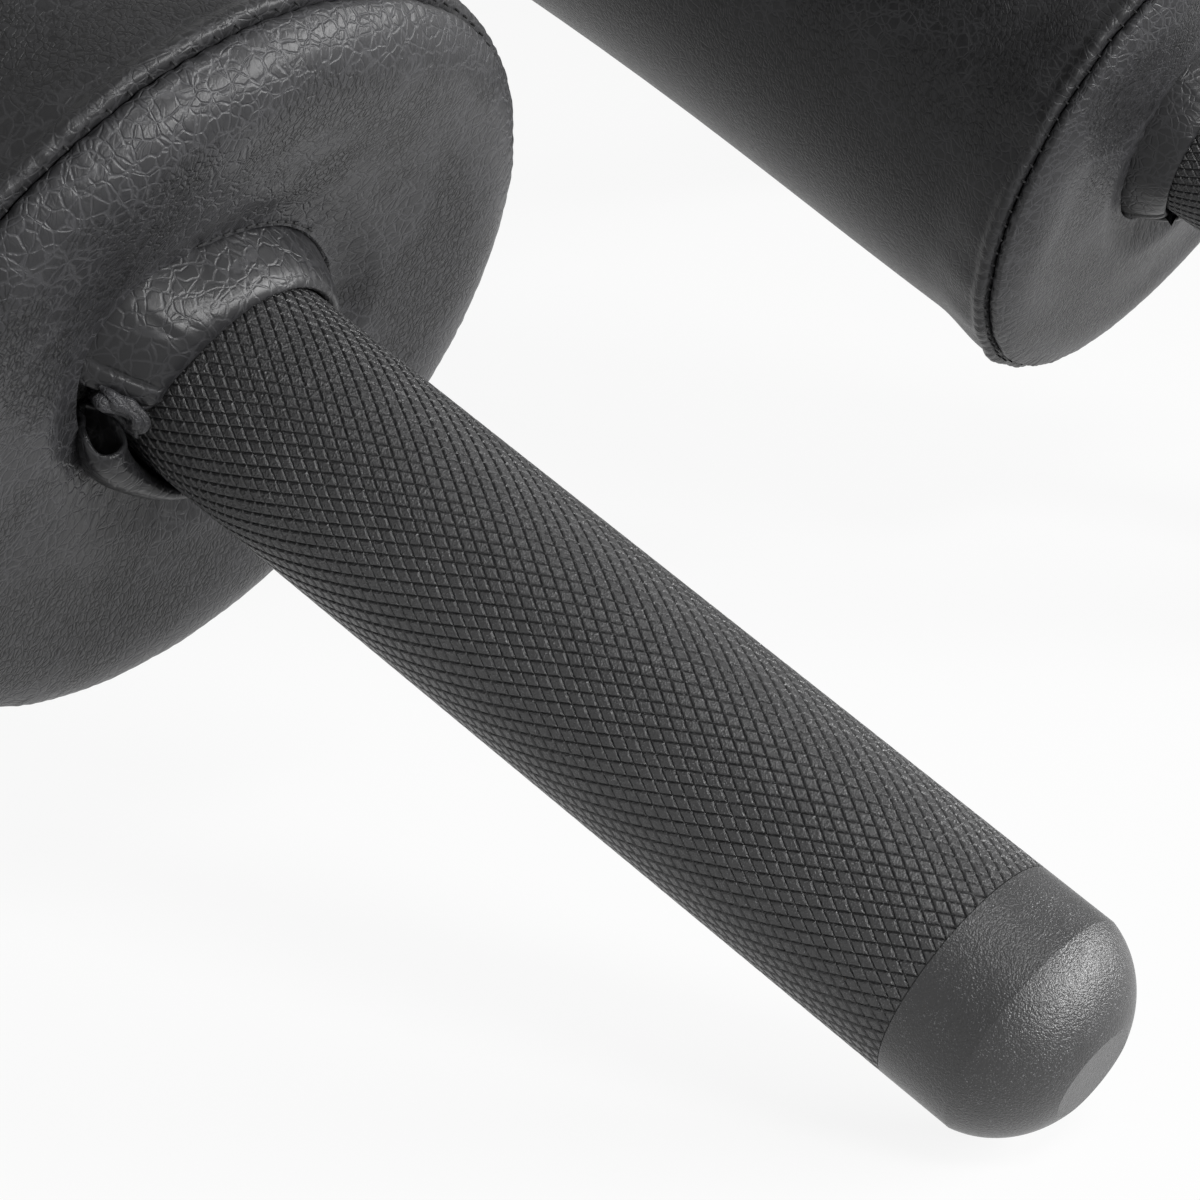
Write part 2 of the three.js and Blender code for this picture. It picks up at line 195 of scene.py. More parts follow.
pale = Finish("pale_floor")
seen = pale.node("ShaderNodeLightPath", {}, {}, "Is Camera Ray")
mirrored = pale.node("ShaderNodeLightPath", {}, {}, "Is Glossy Ray")
through = pale.node("ShaderNodeLightPath", {}, {}, "Is Transmission Ray")
share_white = (seen + mirrored + through).math("MINIMUM", 1.0) * (1 - FLOOR_SHARE_LIT)
lit = pale.node("ShaderNodeBsdfDiffuse", {}, {"Color": (0.8, 0.8, 0.8, 1)})
white = pale.node("ShaderNodeEmission", {}, {"Color": (1, 1, 1, 1), "Strength": 1.0})
mixed = pale.node("ShaderNodeMixShader", {}, {0: share_white, 1: lit, 2: white})
pale.node("ShaderNodeOutputMaterial", {}, {"Surface": mixed})
floor.data.materials.append(pale.material)

world = bpy.data.worlds.new("studio")
bpy.context.scene.world = world
world.use_nodes = True
sky = world.node_tree
sky.nodes.clear()
path = sky.nodes.new("ShaderNodeLightPath")
seen_or_mirrored = sky.nodes.new("ShaderNodeMath")
seen_or_mirrored.operation = "MAXIMUM"
sky.links.new(path.outputs["Is Camera Ray"], seen_or_mirrored.inputs[0])
sky.links.new(path.outputs["Is Glossy Ray"], seen_or_mirrored.inputs[1])
or_through = sky.nodes.new("ShaderNodeMath")
or_through.operation = "MAXIMUM"
sky.links.new(seen_or_mirrored.outputs[0], or_through.inputs[0])
sky.links.new(path.outputs["Is Transmission Ray"], or_through.inputs[1])
strength = sky.nodes.new("ShaderNodeMapRange")
strength.inputs["To Min"].default_value = WORLD_LIGHT
strength.inputs["To Max"].default_value = 1.0
sky.links.new(or_through.outputs[0], strength.inputs["Value"])
background = sky.nodes.new("ShaderNodeBackground")
sky.links.new(strength.outputs[0], background.inputs["Strength"])
world_output = sky.nodes.new("ShaderNodeOutputWorld")
sky.links.new(background.outputs[0], world_output.inputs["Surface"])

LAMP_AIM = Vector((-0.10, -0.12, 0.08))


def lamp(name, azimuth, elevation, roll, size, energy, distance):
    """A soft lamp that looks at the bar from a compass angle and a height angle."""
    side, up = math.radians(azimuth), math.radians(elevation)
    away = Vector((math.cos(up) * math.cos(side), math.cos(up) * math.sin(side), math.sin(up)))
    facing = (-away).to_track_quat("-Z", "Y").to_matrix() @ Matrix.Rotation(math.radians(roll), 3, "Z")
    bpy.ops.object.select_all(action="DESELECT")
    bpy.ops.object.light_add(type="AREA", location=LAMP_AIM + away * distance, rotation=facing.to_euler())
    made = bpy.context.active_object
    made.name = name
    made.data.shape = "RECTANGLE"
    made.data.size, made.data.size_y = size
    made.data.energy = energy


lamp("front_lamp", -67, 19, 13, (3.1, 0.55), 88, 2.1)
lamp("low_left_lamp", -105, 8, 0, (0.80, 0.45), 12, 1.9)
lamp("high_left_lamp", -118, 52, 0, (0.70, 0.60), 15, 1.9)
print("floor, world and lamps are set")

# %% [markdown]
# ## Black powder coat
# The steel is sprayed with powder that melts into a satin black skin. Close to, the skin has the
# fine pebble of orange peel, and grains that didn't melt flat catch the light as tiny glints. A
# noise gives the pebble. The glints are painted highlights: pale grey specks laid into the colour
# where a finer noise is highest. The pebble's hollows are painted a little darker, as painted shade.

# %% Powder coat
PEBBLE = 0.00038
GRAIN = 0.00019
GLINT_GREY = (0.20, 0.20, 0.205)


def powder_coat(name, pebble_depth, black, glint_amount, roughness):
    coat = Finish(name)
    point = coat.place()
    pebble = coat.noise(point, PEBBLE, 1.5, 0.6)
    cloud = coat.noise(point, 0.02, 2.0)
    grain = coat.noise(point, GRAIN, 1.0)
    # Painted highlights: pale grey specks where a fine noise is highest, in patches, stand in for grains that
    # catch the light.
    painted_glint = coat.between(grain, 0.61, 0.74) * coat.between(coat.noise(point, 0.004, 2.0), 0.25, 0.65)
    dark = tuple(value * 0.80 for value in black)
    # The black is darker in soft clouds and, as painted shade, in the hollows of the pebble.
    skin = coat.tint(cloud * 0.5 + coat.between(pebble, 0.35, 0.65) * 0.5, dark, black)
    return coat.surface(
        Base_Color=coat.tint(painted_glint * glint_amount, skin, GLINT_GREY),
        Roughness=roughness + (pebble - 0.5) * 0.20,
        Specular_IOR_Level=0.6,
        Normal=coat.raised(pebble + grain * 0.30, pebble_depth),
    )


grip_coat = powder_coat("grip_powder_coat", 0.00014, (0.020, 0.020, 0.0207), 0.8, 0.32)
tube_coat = powder_coat("tube_powder_coat", 0.00013, (0.024, 0.024, 0.0248), 0.6, 0.36)
print("powder coat:", grip_coat.name, tube_coat.name)

# %% [markdown]
# ## Turning and placing pieces
# Most pieces of the bar are round, so one helper does what a lathe does: a closed outline of points
# is spun once round the z axis. Each piece is made standing on its own axis and then carried to its
# place in the bar, so that its object stays at the origin. An operator acts on all that is selected,
# so each step first clears the selection and then picks what it works on.

# %% Helpers for picking and closing pieces
MERGE = 1e-6


def added(name):
    """The piece that was just added, with its name."""
    piece = bpy.context.active_object
    piece.name = piece.data.name = name
    return piece


def picked(first, *others):
    """Only these pieces are selected, and the first is the active one."""
    bpy.ops.object.select_all(action="DESELECT")
    for piece in (first, *others):
        piece.select_set(True)
    bpy.context.view_layer.objects.active = first


def close_holes():
    """In edit mode: each open edge gets one flat face."""
    bpy.ops.mesh.select_mode(type="EDGE")
    bpy.ops.mesh.select_all(action="DESELECT")
    bpy.ops.mesh.select_non_manifold()
    bpy.ops.mesh.fill_holes(sides=0)
    bpy.ops.mesh.select_mode(type="FACE")


def closed_skin(merge=None):
    """Leaves edit mode with every face turned outwards, and points closer than merge made one."""
    bpy.ops.mesh.select_all(action="SELECT")
    if merge is not None:
        bpy.ops.mesh.remove_doubles(threshold=merge)
    bpy.ops.mesh.normals_make_consistent(inside=False)
    bpy.ops.object.mode_set(mode="OBJECT")


print("points closer than", MERGE, "m are made one")

# %% Helpers for round pieces

def spun(name, outline, steps, sweep=2 * math.pi, start=0.0):
    """A closed outline of (radius, height) points, turned round the z axis."""
    bpy.ops.object.select_all(action="DESELECT")
    bpy.ops.mesh.primitive_circle_add(vertices=len(outline), fill_type="NOTHING")
    piece = added(name)
    for vertex, (radius, height) in zip(piece.data.vertices, outline):
        vertex.co = (radius * math.cos(start), radius * math.sin(start), height)
    lathe = piece.modifiers.new("lathe", "SCREW")
    lathe.steps = lathe.render_steps = steps
    lathe.angle = sweep
    bpy.ops.object.modifier_apply(modifier=lathe.name)
    bpy.ops.object.mode_set(mode="EDIT")
    closed_skin(MERGE)
    bpy.ops.object.shade_smooth()
    return piece


def rounded(corners, points=5):
    """Corners (radius, height, rounding) of a closed outline, each made a short arc."""
    line = []
    for index, (radius, height, fillet) in enumerate(corners):
        here = np.array((radius, height))
        if not fillet:
            line.append((radius, height))
            continue
        before = np.array(corners[index - 1][:2]) - here
        after = np.array(corners[(index + 1) % len(corners)][:2]) - here
        before /= np.linalg.norm(before)
        after /= np.linalg.norm(after)
        half = math.acos(np.clip(before @ after, -1, 1)) / 2
        middle = (before + after) / np.linalg.norm(before + after)
        centre = here + middle * fillet / math.sin(half)
        first = here + before * fillet / math.tan(half) - centre
        last = here + after * fillet / math.tan(half) - centre
        for step in range(points + 1):
            spoke = first * (1 - step / points) + last * step / points
            line.append(tuple(centre + spoke * fillet / np.linalg.norm(spoke)))
    return line


def spots(piece):
    """The piece's points as rows of numbers."""
    found = np.empty(len(piece.data.vertices) * 3)
    piece.data.vertices.foreach_get("co", found)
    return found.reshape(-1, 3)


def move_to(piece, found):
    piece.data.vertices.foreach_set("co", found.ravel())
    piece.data.update()


def around(turn, out, height):
    """Rows of numbers again, from a turn round the axis, a distance from it and a height."""
    return np.stack([out * np.cos(turn), out * np.sin(turn), height], 1)


def swept(name, path, radius, closed=False, swell=None, sides=16):
    """A round rod along a path. swell changes its radius from point to point."""
    line = bpy.data.curves.new(name, "CURVE")
    line.dimensions = "3D"
    line.bevel_depth = radius
    line.bevel_resolution = sides
    line.use_fill_caps = not closed
    spline = line.splines.new("POLY")
    spline.points.add(len(path) - 1)
    spline.use_cyclic_u = closed
    for index, (point, place) in enumerate(zip(spline.points, path)):
        point.co = (*place, 1)
        point.radius = swell[index] if swell is not None else 1.0
    piece = bpy.data.objects.new(name, line)
    bpy.context.collection.objects.link(piece)
    picked(piece)
    bpy.ops.object.convert(target="MESH")
    bpy.ops.object.mode_set(mode="EDIT")
    closed_skin(MERGE)
    bpy.ops.object.shade_smooth_by_angle(angle=math.radians(35))
    return bpy.context.active_object


def copied(piece, name):
    twin = piece.copy()
    twin.data = piece.data.copy()
    twin.name = twin.data.name = name
    bpy.context.collection.objects.link(twin)
    return twin


def settled(piece, place, body, material, nodes=()):
    """The piece is carried to its place, coated and hung on the body it rides on, and the CAD parts it stands
    for are hidden.
    """
    piece.data.transform(place)
    piece.data.materials.clear()
    piece.data.materials.append(material)
    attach(piece, body)
    if nodes:
        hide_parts(*nodes)
    print(piece.name, len(piece.data.polygons), "faces on", body)
    return piece


SHAFT_AXIS = Vector((0, 0.12928337, 0.19167832))
ARM_OUT = Vector((0, -0.8790461, -0.4767368))
ARM_UP = Vector((0, -0.4767368, 0.8790461))
ARM_SPACING = 0.297
SIDES = {"right": -1, "left": 1}


def arm_place(side):
    """The frame of one arm: x along the bar, y up from the arm, z out along it from the shaft."""
    turn = Matrix((Vector((1, 0, 0)), ARM_UP, ARM_OUT)).transposed().to_4x4()
    spot = SHAFT_AXIS + Vector((SIDES[side] * ARM_SPACING / 2, 0, 0))
    return Matrix.Translation(spot) @ turn


print("helpers for round pieces are ready")

# %% [markdown]
# ## Knurled handle
# A knurling tool rolls two crossing sets of grooves into the turned bar, and what stands between
# them is a field of flat-topped diamonds. Here 54 grooves run each way, so a diamond is 3.2 mm long
# and 1.86 mm wide. Bump alone would leave the outline of the handle smooth, so each diamond is a
# real shape: one is cut with two insets, laid out as a flat sheet with array modifiers, trimmed to
# the length of the knurl and rolled round the bar.

# %% One sheet of knurling
GRIP_RADIUS = 0.016
KNURL_STARTS = 54
KNURL_PITCH = 0.0032
KNURL_FROM = 0.2175
KNURL_TO = 0.3584
GROOVE_HALF = 0.00017
GROOVE_DEPTH = 0.00025
DIAMOND_EDGE = 0.00014
DIAMOND_CROWN = 0.00007


def diamond_sheet(name):
    wide = 2 * math.pi * GRIP_RADIUS / KNURL_STARTS
    bpy.ops.object.select_all(action="DESELECT")
    bpy.ops.mesh.primitive_circle_add(vertices=4, radius=0.5, fill_type="NGON")
    sheet = added(name)
    bpy.ops.object.mode_set(mode="EDIT")
    bpy.ops.mesh.select_all(action="SELECT")
    bpy.ops.transform.resize(value=(wide, KNURL_PITCH, 1))
    bpy.ops.mesh.inset(thickness=GROOVE_HALF, depth=GROOVE_DEPTH - DIAMOND_CROWN)
    bpy.ops.mesh.inset(thickness=DIAMOND_EDGE, depth=DIAMOND_CROWN)
    bpy.ops.mesh.select_all(action="SELECT")
    bpy.ops.mesh.duplicate_move(TRANSFORM_OT_translate={"value": (wide / 2, KNURL_PITCH / 2, 0)})
    bpy.ops.object.mode_set(mode="OBJECT")
    rows = math.ceil((KNURL_TO - KNURL_FROM) / KNURL_PITCH) + 2
    for count, step in ((KNURL_STARTS, (wide, 0, 0)), (rows, (0, KNURL_PITCH, 0))):
        repeat = sheet.modifiers.new("repeat", "ARRAY")
        repeat.count = count
        repeat.use_relative_offset = False
        repeat.use_constant_offset = True
        repeat.constant_offset_displace = step
        bpy.ops.object.modifier_apply(modifier=repeat.name)
    bpy.ops.object.mode_set(mode="EDIT")
    bpy.ops.mesh.select_all(action="SELECT")
    bpy.ops.transform.translate(value=(0, KNURL_FROM - KNURL_PITCH, -GROOVE_DEPTH))
    bpy.ops.mesh.remove_doubles(threshold=MERGE)
    for height, up in ((KNURL_FROM, False), (KNURL_TO, True)):
        bpy.ops.mesh.select_all(action="SELECT")
        bpy.ops.mesh.bisect(
            plane_co=(0, height, 0), plane_no=(0, 1, 0), clear_inner=not up, clear_outer=up)
    bpy.ops.object.mode_set(mode="OBJECT")
    return sheet


def rolled_up(sheet, radius):
    flat = spots(sheet)
    turn = flat[:, 0] / radius
    out = radius + flat[:, 2]
    move_to(sheet, around(turn, out, flat[:, 1]))


knurl = diamond_sheet("right_handle_knurl")
rolled_up(knurl, GRIP_RADIUS)
print("one sheet of knurling:", len(knurl.data.polygons), "faces")

# %% [markdown]
# The sheet has to become a closed skin. Its points meet where it was rolled together, and the edge
# at each end should be drawn in towards the axis until it closes, out of sight inside the bar. Only
# the start closes. Bisect takes points within 0.1 mm of its plane as lying on it, so the far edge
# ends at 0.3583 m. It isn't found at KNURL_TO and stays open, 0.1 mm from the plain band. A bisect
# with threshold=1e-6 would cut in the right place.

# %% Close the knurl and turn the bar under it
bpy.ops.object.mode_set(mode="EDIT")
bpy.ops.mesh.select_all(action="SELECT")
bpy.ops.mesh.remove_doubles(threshold=MERGE * 2)
bpy.ops.mesh.normals_make_consistent(inside=False)
for height in (KNURL_FROM, KNURL_TO):
    bpy.ops.mesh.select_mode(type="VERT")
    bpy.ops.mesh.select_all(action="DESELECT")
    bpy.ops.object.mode_set(mode="OBJECT")
    for vertex in knurl.data.vertices:
        vertex.select = abs(vertex.co.z - height) < 1e-7
    bpy.ops.object.mode_set(mode="EDIT")
    bpy.ops.mesh.extrude_region_move(TRANSFORM_OT_translate={"value": (0, 0, 0)})
    bpy.ops.transform.resize(value=(0.9, 0.9, 1), center_override=(0, 0, height))
    bpy.ops.mesh.extrude_region_move(TRANSFORM_OT_translate={"value": (0, 0, 0)})
    bpy.ops.mesh.merge(type="CENTER")
closed_skin()
bpy.ops.object.shade_flat()

TIP_START = 0.3691
TIP_END = 0.37875
TIP_FLAT = 0.00655
CORE_RADIUS = 0.0154
BAR_START = 0.1903
SPIGOT_START = 0.150
SPIGOT_RADIUS = 0.0107


def tip_arc(radius, break_start, break_end, points):
    """The rounded end: an arc that starts and ends with a slight edge, as a form tool leaves it."""
    first, last = math.radians(break_start), math.radians(90 - break_end)
    wide = (radius - TIP_FLAT) / (math.cos(first) - math.cos(last))
    deep = (TIP_END - TIP_START) / (math.sin(last) - math.sin(first))
    middle = radius - wide * math.cos(first), TIP_START - deep * math.sin(first)
    turns = np.linspace(first, last, points)
    return [(middle[0] + wide * math.cos(turn), middle[1] + deep * math.sin(turn)) for turn in turns]


handle_outline = [
    (0, SPIGOT_START), (SPIGOT_RADIUS - 0.002, SPIGOT_START), (SPIGOT_RADIUS, SPIGOT_START + 0.002),
    (SPIGOT_RADIUS, BAR_START), (GRIP_RADIUS - 0.0004, BAR_START), (GRIP_RADIUS, BAR_START + 0.0004),
    (GRIP_RADIUS, KNURL_FROM), (CORE_RADIUS, KNURL_FROM), (CORE_RADIUS, KNURL_TO),
    (GRIP_RADIUS, KNURL_TO), *tip_arc(GRIP_RADIUS, 13, 20, 24), (0, TIP_END),
]
bar_end = spun("right_handle", handle_outline, 160)
bpy.ops.object.shade_smooth_by_angle(angle=math.radians(5))
picked(bar_end, knurl)
bpy.ops.object.join()
left_bar_end = copied(bar_end, "left_handle_bar")
bar_end.name = "right_handle_bar"
for side, piece in (("right", bar_end), ("left", left_bar_end)):
    settled(piece, arm_place(side), "frame", grip_coat, [f"{side}_handle"])

# %% [markdown]
# ## Synthetic leather
# The pads are covered in embossed synthetic leather. Its grain is a net of creases round small
# many-sided cells, with a finer, slanted net between them, and it opens where the skin is bent over
# a seam or pulled to the cuff. Cell patterns give the nets, a map that runs round the piece gives
# the creases that cross a seam, and a number stored on each point, called pull, says how near it
# is to a seam or a cuff. Light and shade are painted into the colour: the fine net's creases are
# darker, as painted shade, and the coarse net's creases paler, partly for stretched grain and
# partly as a painted highlight on their walls, most of all where the grain opens.

# %% Leather finishes
PULL = "pull"
GRAIN_SLANT = 1.15


def leather(name, cell, depth, black, roughness, opened, fine_share, gloss=0.25):
    """opened says how much of the hide has open cells, fine_share how far its fine grain shows."""
    hide = Finish(name)
    point = hide.place()
    pull = hide.node("ShaderNodeAttribute", {"attribute_name": PULL}, {}, 2)
    cloud = hide.noise(point, 0.014, 2.0)
    bent = hide.warped(hide.warped(point, cell * 1.4, cell * 0.7), cell * 0.45, cell * 0.16)
    net = hide.between(hide.cells(bent, cell), 0.13, 0.0)
    wide_net = hide.between(hide.cells(hide.warped(point, cell * 3, cell * 1.5), cell * 2.1), 0.05, 0.0)
    leaning = hide.stretched(bent, (1.0, 1.0, 0.45), (0.0, GRAIN_SLANT, 0.0))
    fine_net = hide.between(hide.cells(leaning, cell * 0.42), 0.20, 0.0)
    round_seam = hide.stretched(hide.unrolled(), (1.0, 0.22, 1.0))
    puckers = hide.between(hide.noise(round_seam, 0.0022, 1.0), 0.38, 0.62)
    open_grain = hide.between(cloud + pull * 0.3, 0.66 - opened, 0.86 - opened)
    coarse = net.math("MAXIMUM", wide_net) * (0.38 + open_grain * 0.62)
    fine = fine_net * (1.0 - open_grain * 0.85) * fine_share
    pore = hide.noise(point, 0.00022, 2.0)
    height = puckers * pull * 0.22 + pore * 0.06 - coarse * 0.42 - fine * 0.55
    # The third colour, paler than the leather, goes on the coarse creases: partly stretched grain, partly a
    # painted highlight on the crease walls.
    dark, deep, stretched_and_lit = (tuple(value * share for value in black) for share in (0.85, 0.35, 1.9))
    # The fine net's creases take the darkest colour, as painted shade in the valleys.
    grained = hide.tint(fine, hide.tint(cloud, dark, black), deep)
    return hide.surface(
        Base_Color=hide.tint(coarse * 0.60, grained, stretched_and_lit),
        Roughness=roughness + (cloud - 0.5) * 0.08 + coarse * 0.06,
        Specular_IOR_Level=gloss,
        Normal=hide.raised(height, depth),
    )


# The sides and cuffs are the same synthetic leather as the faces. Their darker blacks are painted shade.
face_leather = leather("face_leather", 0.0021, 0.00019, (0.022, 0.022, 0.0235), 0.35, 0.21, 1.0)
side_leather = leather("side_leather", 0.0021, 0.00014, (0.018, 0.018, 0.019), 0.36, 0.18, 0.8, 0.21)
cuff_leather = leather("cuff_leather", 0.0022, 0.00010, (0.014, 0.014, 0.0150), 0.30, 0.38, 0.22, 0.24)
fold_skin = leather("fold_skin", 0.0011, 0.00016, (0.024, 0.024, 0.026), 0.42, 0.30, 0.6)
print("leather:", face_leather.name, side_leather.name, cuff_leather.name, fold_skin.name)

# %% [markdown]
# ## Thread
# The seams are sewn with black polyester thread. It is duller than the leather and has a fine twist,
# which a stretched noise gives. A real twisted strand would be too small to see.

# %% Thread finish
TWIST = 0.00012

spun_thread = Finish("polyester_thread")
thread_point = spun_thread.place()
twill = spun_thread.noise(spun_thread.stretched(thread_point, (1.0, 0.35, 1.0)), TWIST, 2.0)
lint = spun_thread.noise(thread_point, TWIST * 2.5, 3.0)
thread = spun_thread.surface(
    Base_Color=spun_thread.tint(
        spun_thread.between(twill + lint, 0.7, 1.3), (0.015, 0.015, 0.0155), (0.030, 0.030, 0.031)),
    Roughness=0.85,
    Specular_IOR_Level=0.2,
    Normal=spun_thread.raised(twill * 0.7 + lint * 0.3, 0.00003),
)
print("thread:", thread.name)

# %% [markdown]
# ## Ripples that close on themselves
# Sewn skin is never an exact round: it bulges between stitches, waves along a flared edge and
# creases where it is gathered. These moves are sums of whole numbers of waves round the roll, with
# seeded phases, so they close on themselves and come out the same each time.

# %% Helpers for sewn rolls
STITCH = 0.0034


def waves(turn, slowest, fastest, seed, along=0.0):
    """From about -1 to 1, with slowest to fastest waves round the roll. along makes it drift."""
    draw = np.random.default_rng(seed)
    counts = np.arange(slowest, fastest + 1)
    phases = draw.uniform(0, 2 * math.pi, len(counts))
    drifts = draw.uniform(-1, 1, len(counts))
    sizes = draw.uniform(0.4, 1, len(counts))
    total = np.zeros_like(turn)
    for count, phase, drift, size in zip(counts, phases, drifts, sizes):
        total += size * np.cos(count * turn + phase + drift * along)
    return total / (2 * math.sqrt((sizes ** 2).sum() / 2))


def eased(value, low, high):
    """0 below low, 1 above high, and a soft step between."""
    share = np.clip((value - low) / (high - low), 0, 1)
    return share * share * (3 - 2 * share)


def bell(value, width):
    """1 where value is 0, and falling off softly on both sides."""
    return np.exp(-(value / width) ** 2)


def near_turn(turn, angle, width):
    """A bell round one direction of the roll, in degrees."""
    return bell((np.degrees(turn) - angle + 180) % 360 - 180, width)


def harmonics(turn, terms):
    """A sum of waves round the roll, each (how many, size of its cosine, size of its sine)."""
    return sum(size * np.cos(count * turn) + other * np.sin(count * turn) for count, size, other in terms)


def polar(found):
    return np.arctan2(found[:, 1], found[:, 0]), np.hypot(found[:, 0], found[:, 1])


def widen(found, out, move):
    """Carries points away from the roll's axis."""
    found[:, :2] *= ((out + move) / out)[:, None]


def unroll(piece, radius):
    """The piece's own map: metres round it, and metres along its outline."""
    found = spots(piece)
    turn, out = polar(found)
    along = found[:, 2] + out
    corners = np.empty(len(piece.data.loops), int)
    piece.data.loops.foreach_get("vertex_index", corners)
    starts = np.empty(len(piece.data.polygons), int)
    piece.data.polygons.foreach_get("loop_start", starts)
    lengths = np.empty(len(piece.data.polygons), int)
    piece.data.polygons.foreach_get("loop_total", lengths)
    turns = turn[corners] % (2 * math.pi)
    highest = np.repeat(np.maximum.reduceat(turns, starts), lengths)
    turns = np.where(highest - turns > math.pi, turns + 2 * math.pi, turns)
    for old in list(piece.data.uv_layers):
        piece.data.uv_layers.remove(old)
    layer = piece.data.uv_layers.new(name=UNROLLED)
    layer.uv.foreach_set("vector", np.stack([turns * radius, along[corners]], 1).astype(np.float32).ravel())


def mark_pull(piece, amount):
    """Stores how near each point is to a seam or a cuff, from 0 to 1."""
    store = piece.data.attributes.new(PULL, "FLOAT", "POINT")
    store.data.foreach_set("value", np.asarray(amount, np.float32))


print("one stitch every", STITCH * 1000, "mm")

# %% [markdown]
# ## Three stuffed rolls
# A pad is a roll of foam in a sewn cover, and its filling is never even: the roll is a little out of
# round, its face leans, and next to the split in the cuff the leather lets go. One class holds these
# numbers for a roll, so that its side, faces, seams, foam and flap all follow the same form. The
# numbers of the two arms were fitted to the outlines in the picture.

# %% The rolls
PUFF_LINE = (
    (0, 1, 2, 3, 4, 5, 6.5, 8, 10, 13, 16, 20, 24, 28, 32),
    (0, 0.31, 0.53, 0.69, 0.80, 0.88, 0.95, 0.99, 1.0, 0.93, 0.79, 0.52, 0.27, 0.09, 0))
FLARE = 0.0165
WAIST = 0.0013
WAIST_LENGTH = 0.095


class Roll:
    """One stuffed roll: a side between two seam planes, and a face at each end."""

    def __init__(
            self, name, radius, seam_radius, start, finish, hole, seed,
            swell=(), lean=(), pulls=(), stuffed=None):
        self.name = name
        self.radius = radius
        self.seam_radius = seam_radius
        self.start = start
        self.finish = finish
        self.hole = hole
        self.swell = swell
        self.lean = lean
        self.pulls = pulls
        self.stuffed = stuffed
        self.seed = seed
        self.stitches = round(2 * math.pi * seam_radius / STITCH)

    def side_radius(self, away):
        """The roll's radius at some distance from the nearer seam plane."""
        return self.radius + WAIST * (1 - eased(away, FLARE * 0.8, WAIST_LENGTH))

    def settle(self, found):
        """The filling isn't even, so towards the front the roll is out of round and its face leans."""
        turn, out = polar(found)
        share = eased(found[:, 2], self.start, self.finish) * eased(out, 0.024, 0.046)
        found[:, :2] *= (1 + harmonics(turn, self.swell) * 1e-3 * share / out)[:, None]
        found[:, 2] += harmonics(turn, self.lean) * 1e-3 * share
        return found

    def crease(self, turn):
        """Where the front face meets the cuff. The split lets go, so next to it the hole is wider."""
        radius = np.full_like(turn, self.hole)
        for angle, size, width in self.pulls:
            radius += size * 1e-3 * near_turn(turn, angle, width)
        return radius

    def puff(self, turn, inside):
        """The rim of the front face stands up most where the filling was pushed in last."""
        if self.stuffed is None:
            return 0.0
        angle, size, width = self.stuffed
        crest = np.interp(inside * 1e3, *PUFF_LINE)
        return size * 1e-3 * crest * (0.22 + 0.78 * near_turn(turn, angle, width))

    def pinch(self, turn):
        """1 at a stitch and 0 halfway between two."""
        return (0.5 + 0.5 * np.cos(self.stitches * turn)) ** 2

    def seam_ripple(self, turn):
        """How far the seam wanders outwards and inwards."""
        return 0.00022 * waves(turn, 9, 26, self.seed + 1)

    def seam_drift(self, turn):
        """How far the seam wanders along the roll."""
        return 0.00016 * waves(turn, 14, 40, self.seed + 9)


ARM_ROLLS = {
    "right": Roll(
        "right_pad", 0.0555, 0.0586, 0.0285, 0.2230, 0.0212, seed=11,
        swell=((0, 0.67, 0), (1, -0.76, 0.10), (2, 0.82, -0.25), (3, 0.44, 0.22)),
        lean=((0, 0.48, 0), (1, 1.59, 0.59), (2, -0.81, -0.34)),
        pulls=((160, 5.6, 38), (15, 2.4, 26)), stuffed=(122, 4.1, 52)),
    "left": Roll(
        "left_pad", 0.0555, 0.0584, 0.0285, 0.2230, 0.0208, seed=23,
        swell=((0, 0.20, 0), (1, 0.13, 0.57), (2, 0.35, 0.57), (3, -0.12, 0.17)),
        lean=((0, -0.25, 0), (1, -0.26, 1.37), (2, -0.61, 0.61)),
        pulls=((135, 1.6, 36), (250, 1.0, 30)), stuffed=(110, 1.6, 60)),
}
NECK_ROLL = Roll("neck_pad", 0.0508, 0.0534, -0.0830, 0.0830, 0.0198, seed=37)
print("stitches round a seam:", ARM_ROLLS["right"].stitches)

# %% [markdown]
# ## Side of a roll
# The side is one sheet, sewn to the faces inside out and turned, so at each end it rolls over into
# the seam as a rounded bead. Behind the bead it flares, because the face is wider than the foam.
# The outline holds all this, and the moves after the spin add what the needle and the filling do.

# %% Side skins
SKIN = 0.0016
BEAD_LINE = [
    (-1.75, 0.12), (-1.15, 0.08), (-0.55, 0.10), (0.00, 0.25), (0.42, 0.54), (0.68, 0.94), (0.77, 1.40),
    (0.70, 1.88), (0.48, 2.36), (0.18, 2.85), (-0.12, 3.40),
]
SIDE_ROWS = (
    4.0, 4.8, 5.7, 6.7, 7.8, 9.0, 10.3, 11.7, 13.2, 14.8, 16.5, 18.5, 21, 24, 28, 33, 39, 46, 54, 63, 73, 84)
SIDE_STEPS = 864


def side_half(roll):
    """Half the outer outline: (radius, distance from the seam plane), from seam to middle."""
    line = [(roll.seam_radius + out * 1e-3, away * 1e-3) for out, away in BEAD_LINE]
    top = line[-1][0]
    middle = (roll.finish - roll.start) / 2
    for away in SIDE_ROWS:
        away *= 1e-3
        if away > middle - 0.004:
            break
        flare = float(1 - eased(away, line[10][1], FLARE))
        body = float(roll.side_radius(away))
        line.append((body + (top - body) * flare, away))
    line.append((float(roll.side_radius(middle)), middle))
    return line


def side_outline(roll):
    half = side_half(roll)
    outer = [(out, roll.start + away) for out, away in half]
    outer += [(out, roll.finish - away) for out, away in reversed(half[:-1])]
    under = [
        (roll.seam_radius - 0.0035, 0.00012), (roll.seam_radius - 0.0026, 0.003), (roll.radius - SKIN, FLARE)]
    inner = [(out, roll.finish - away) for out, away in under]
    inner += [(roll.radius - SKIN, (roll.start + roll.finish) / 2)]
    inner += [(out, roll.start + away) for out, away in reversed(under)]
    return outer + inner


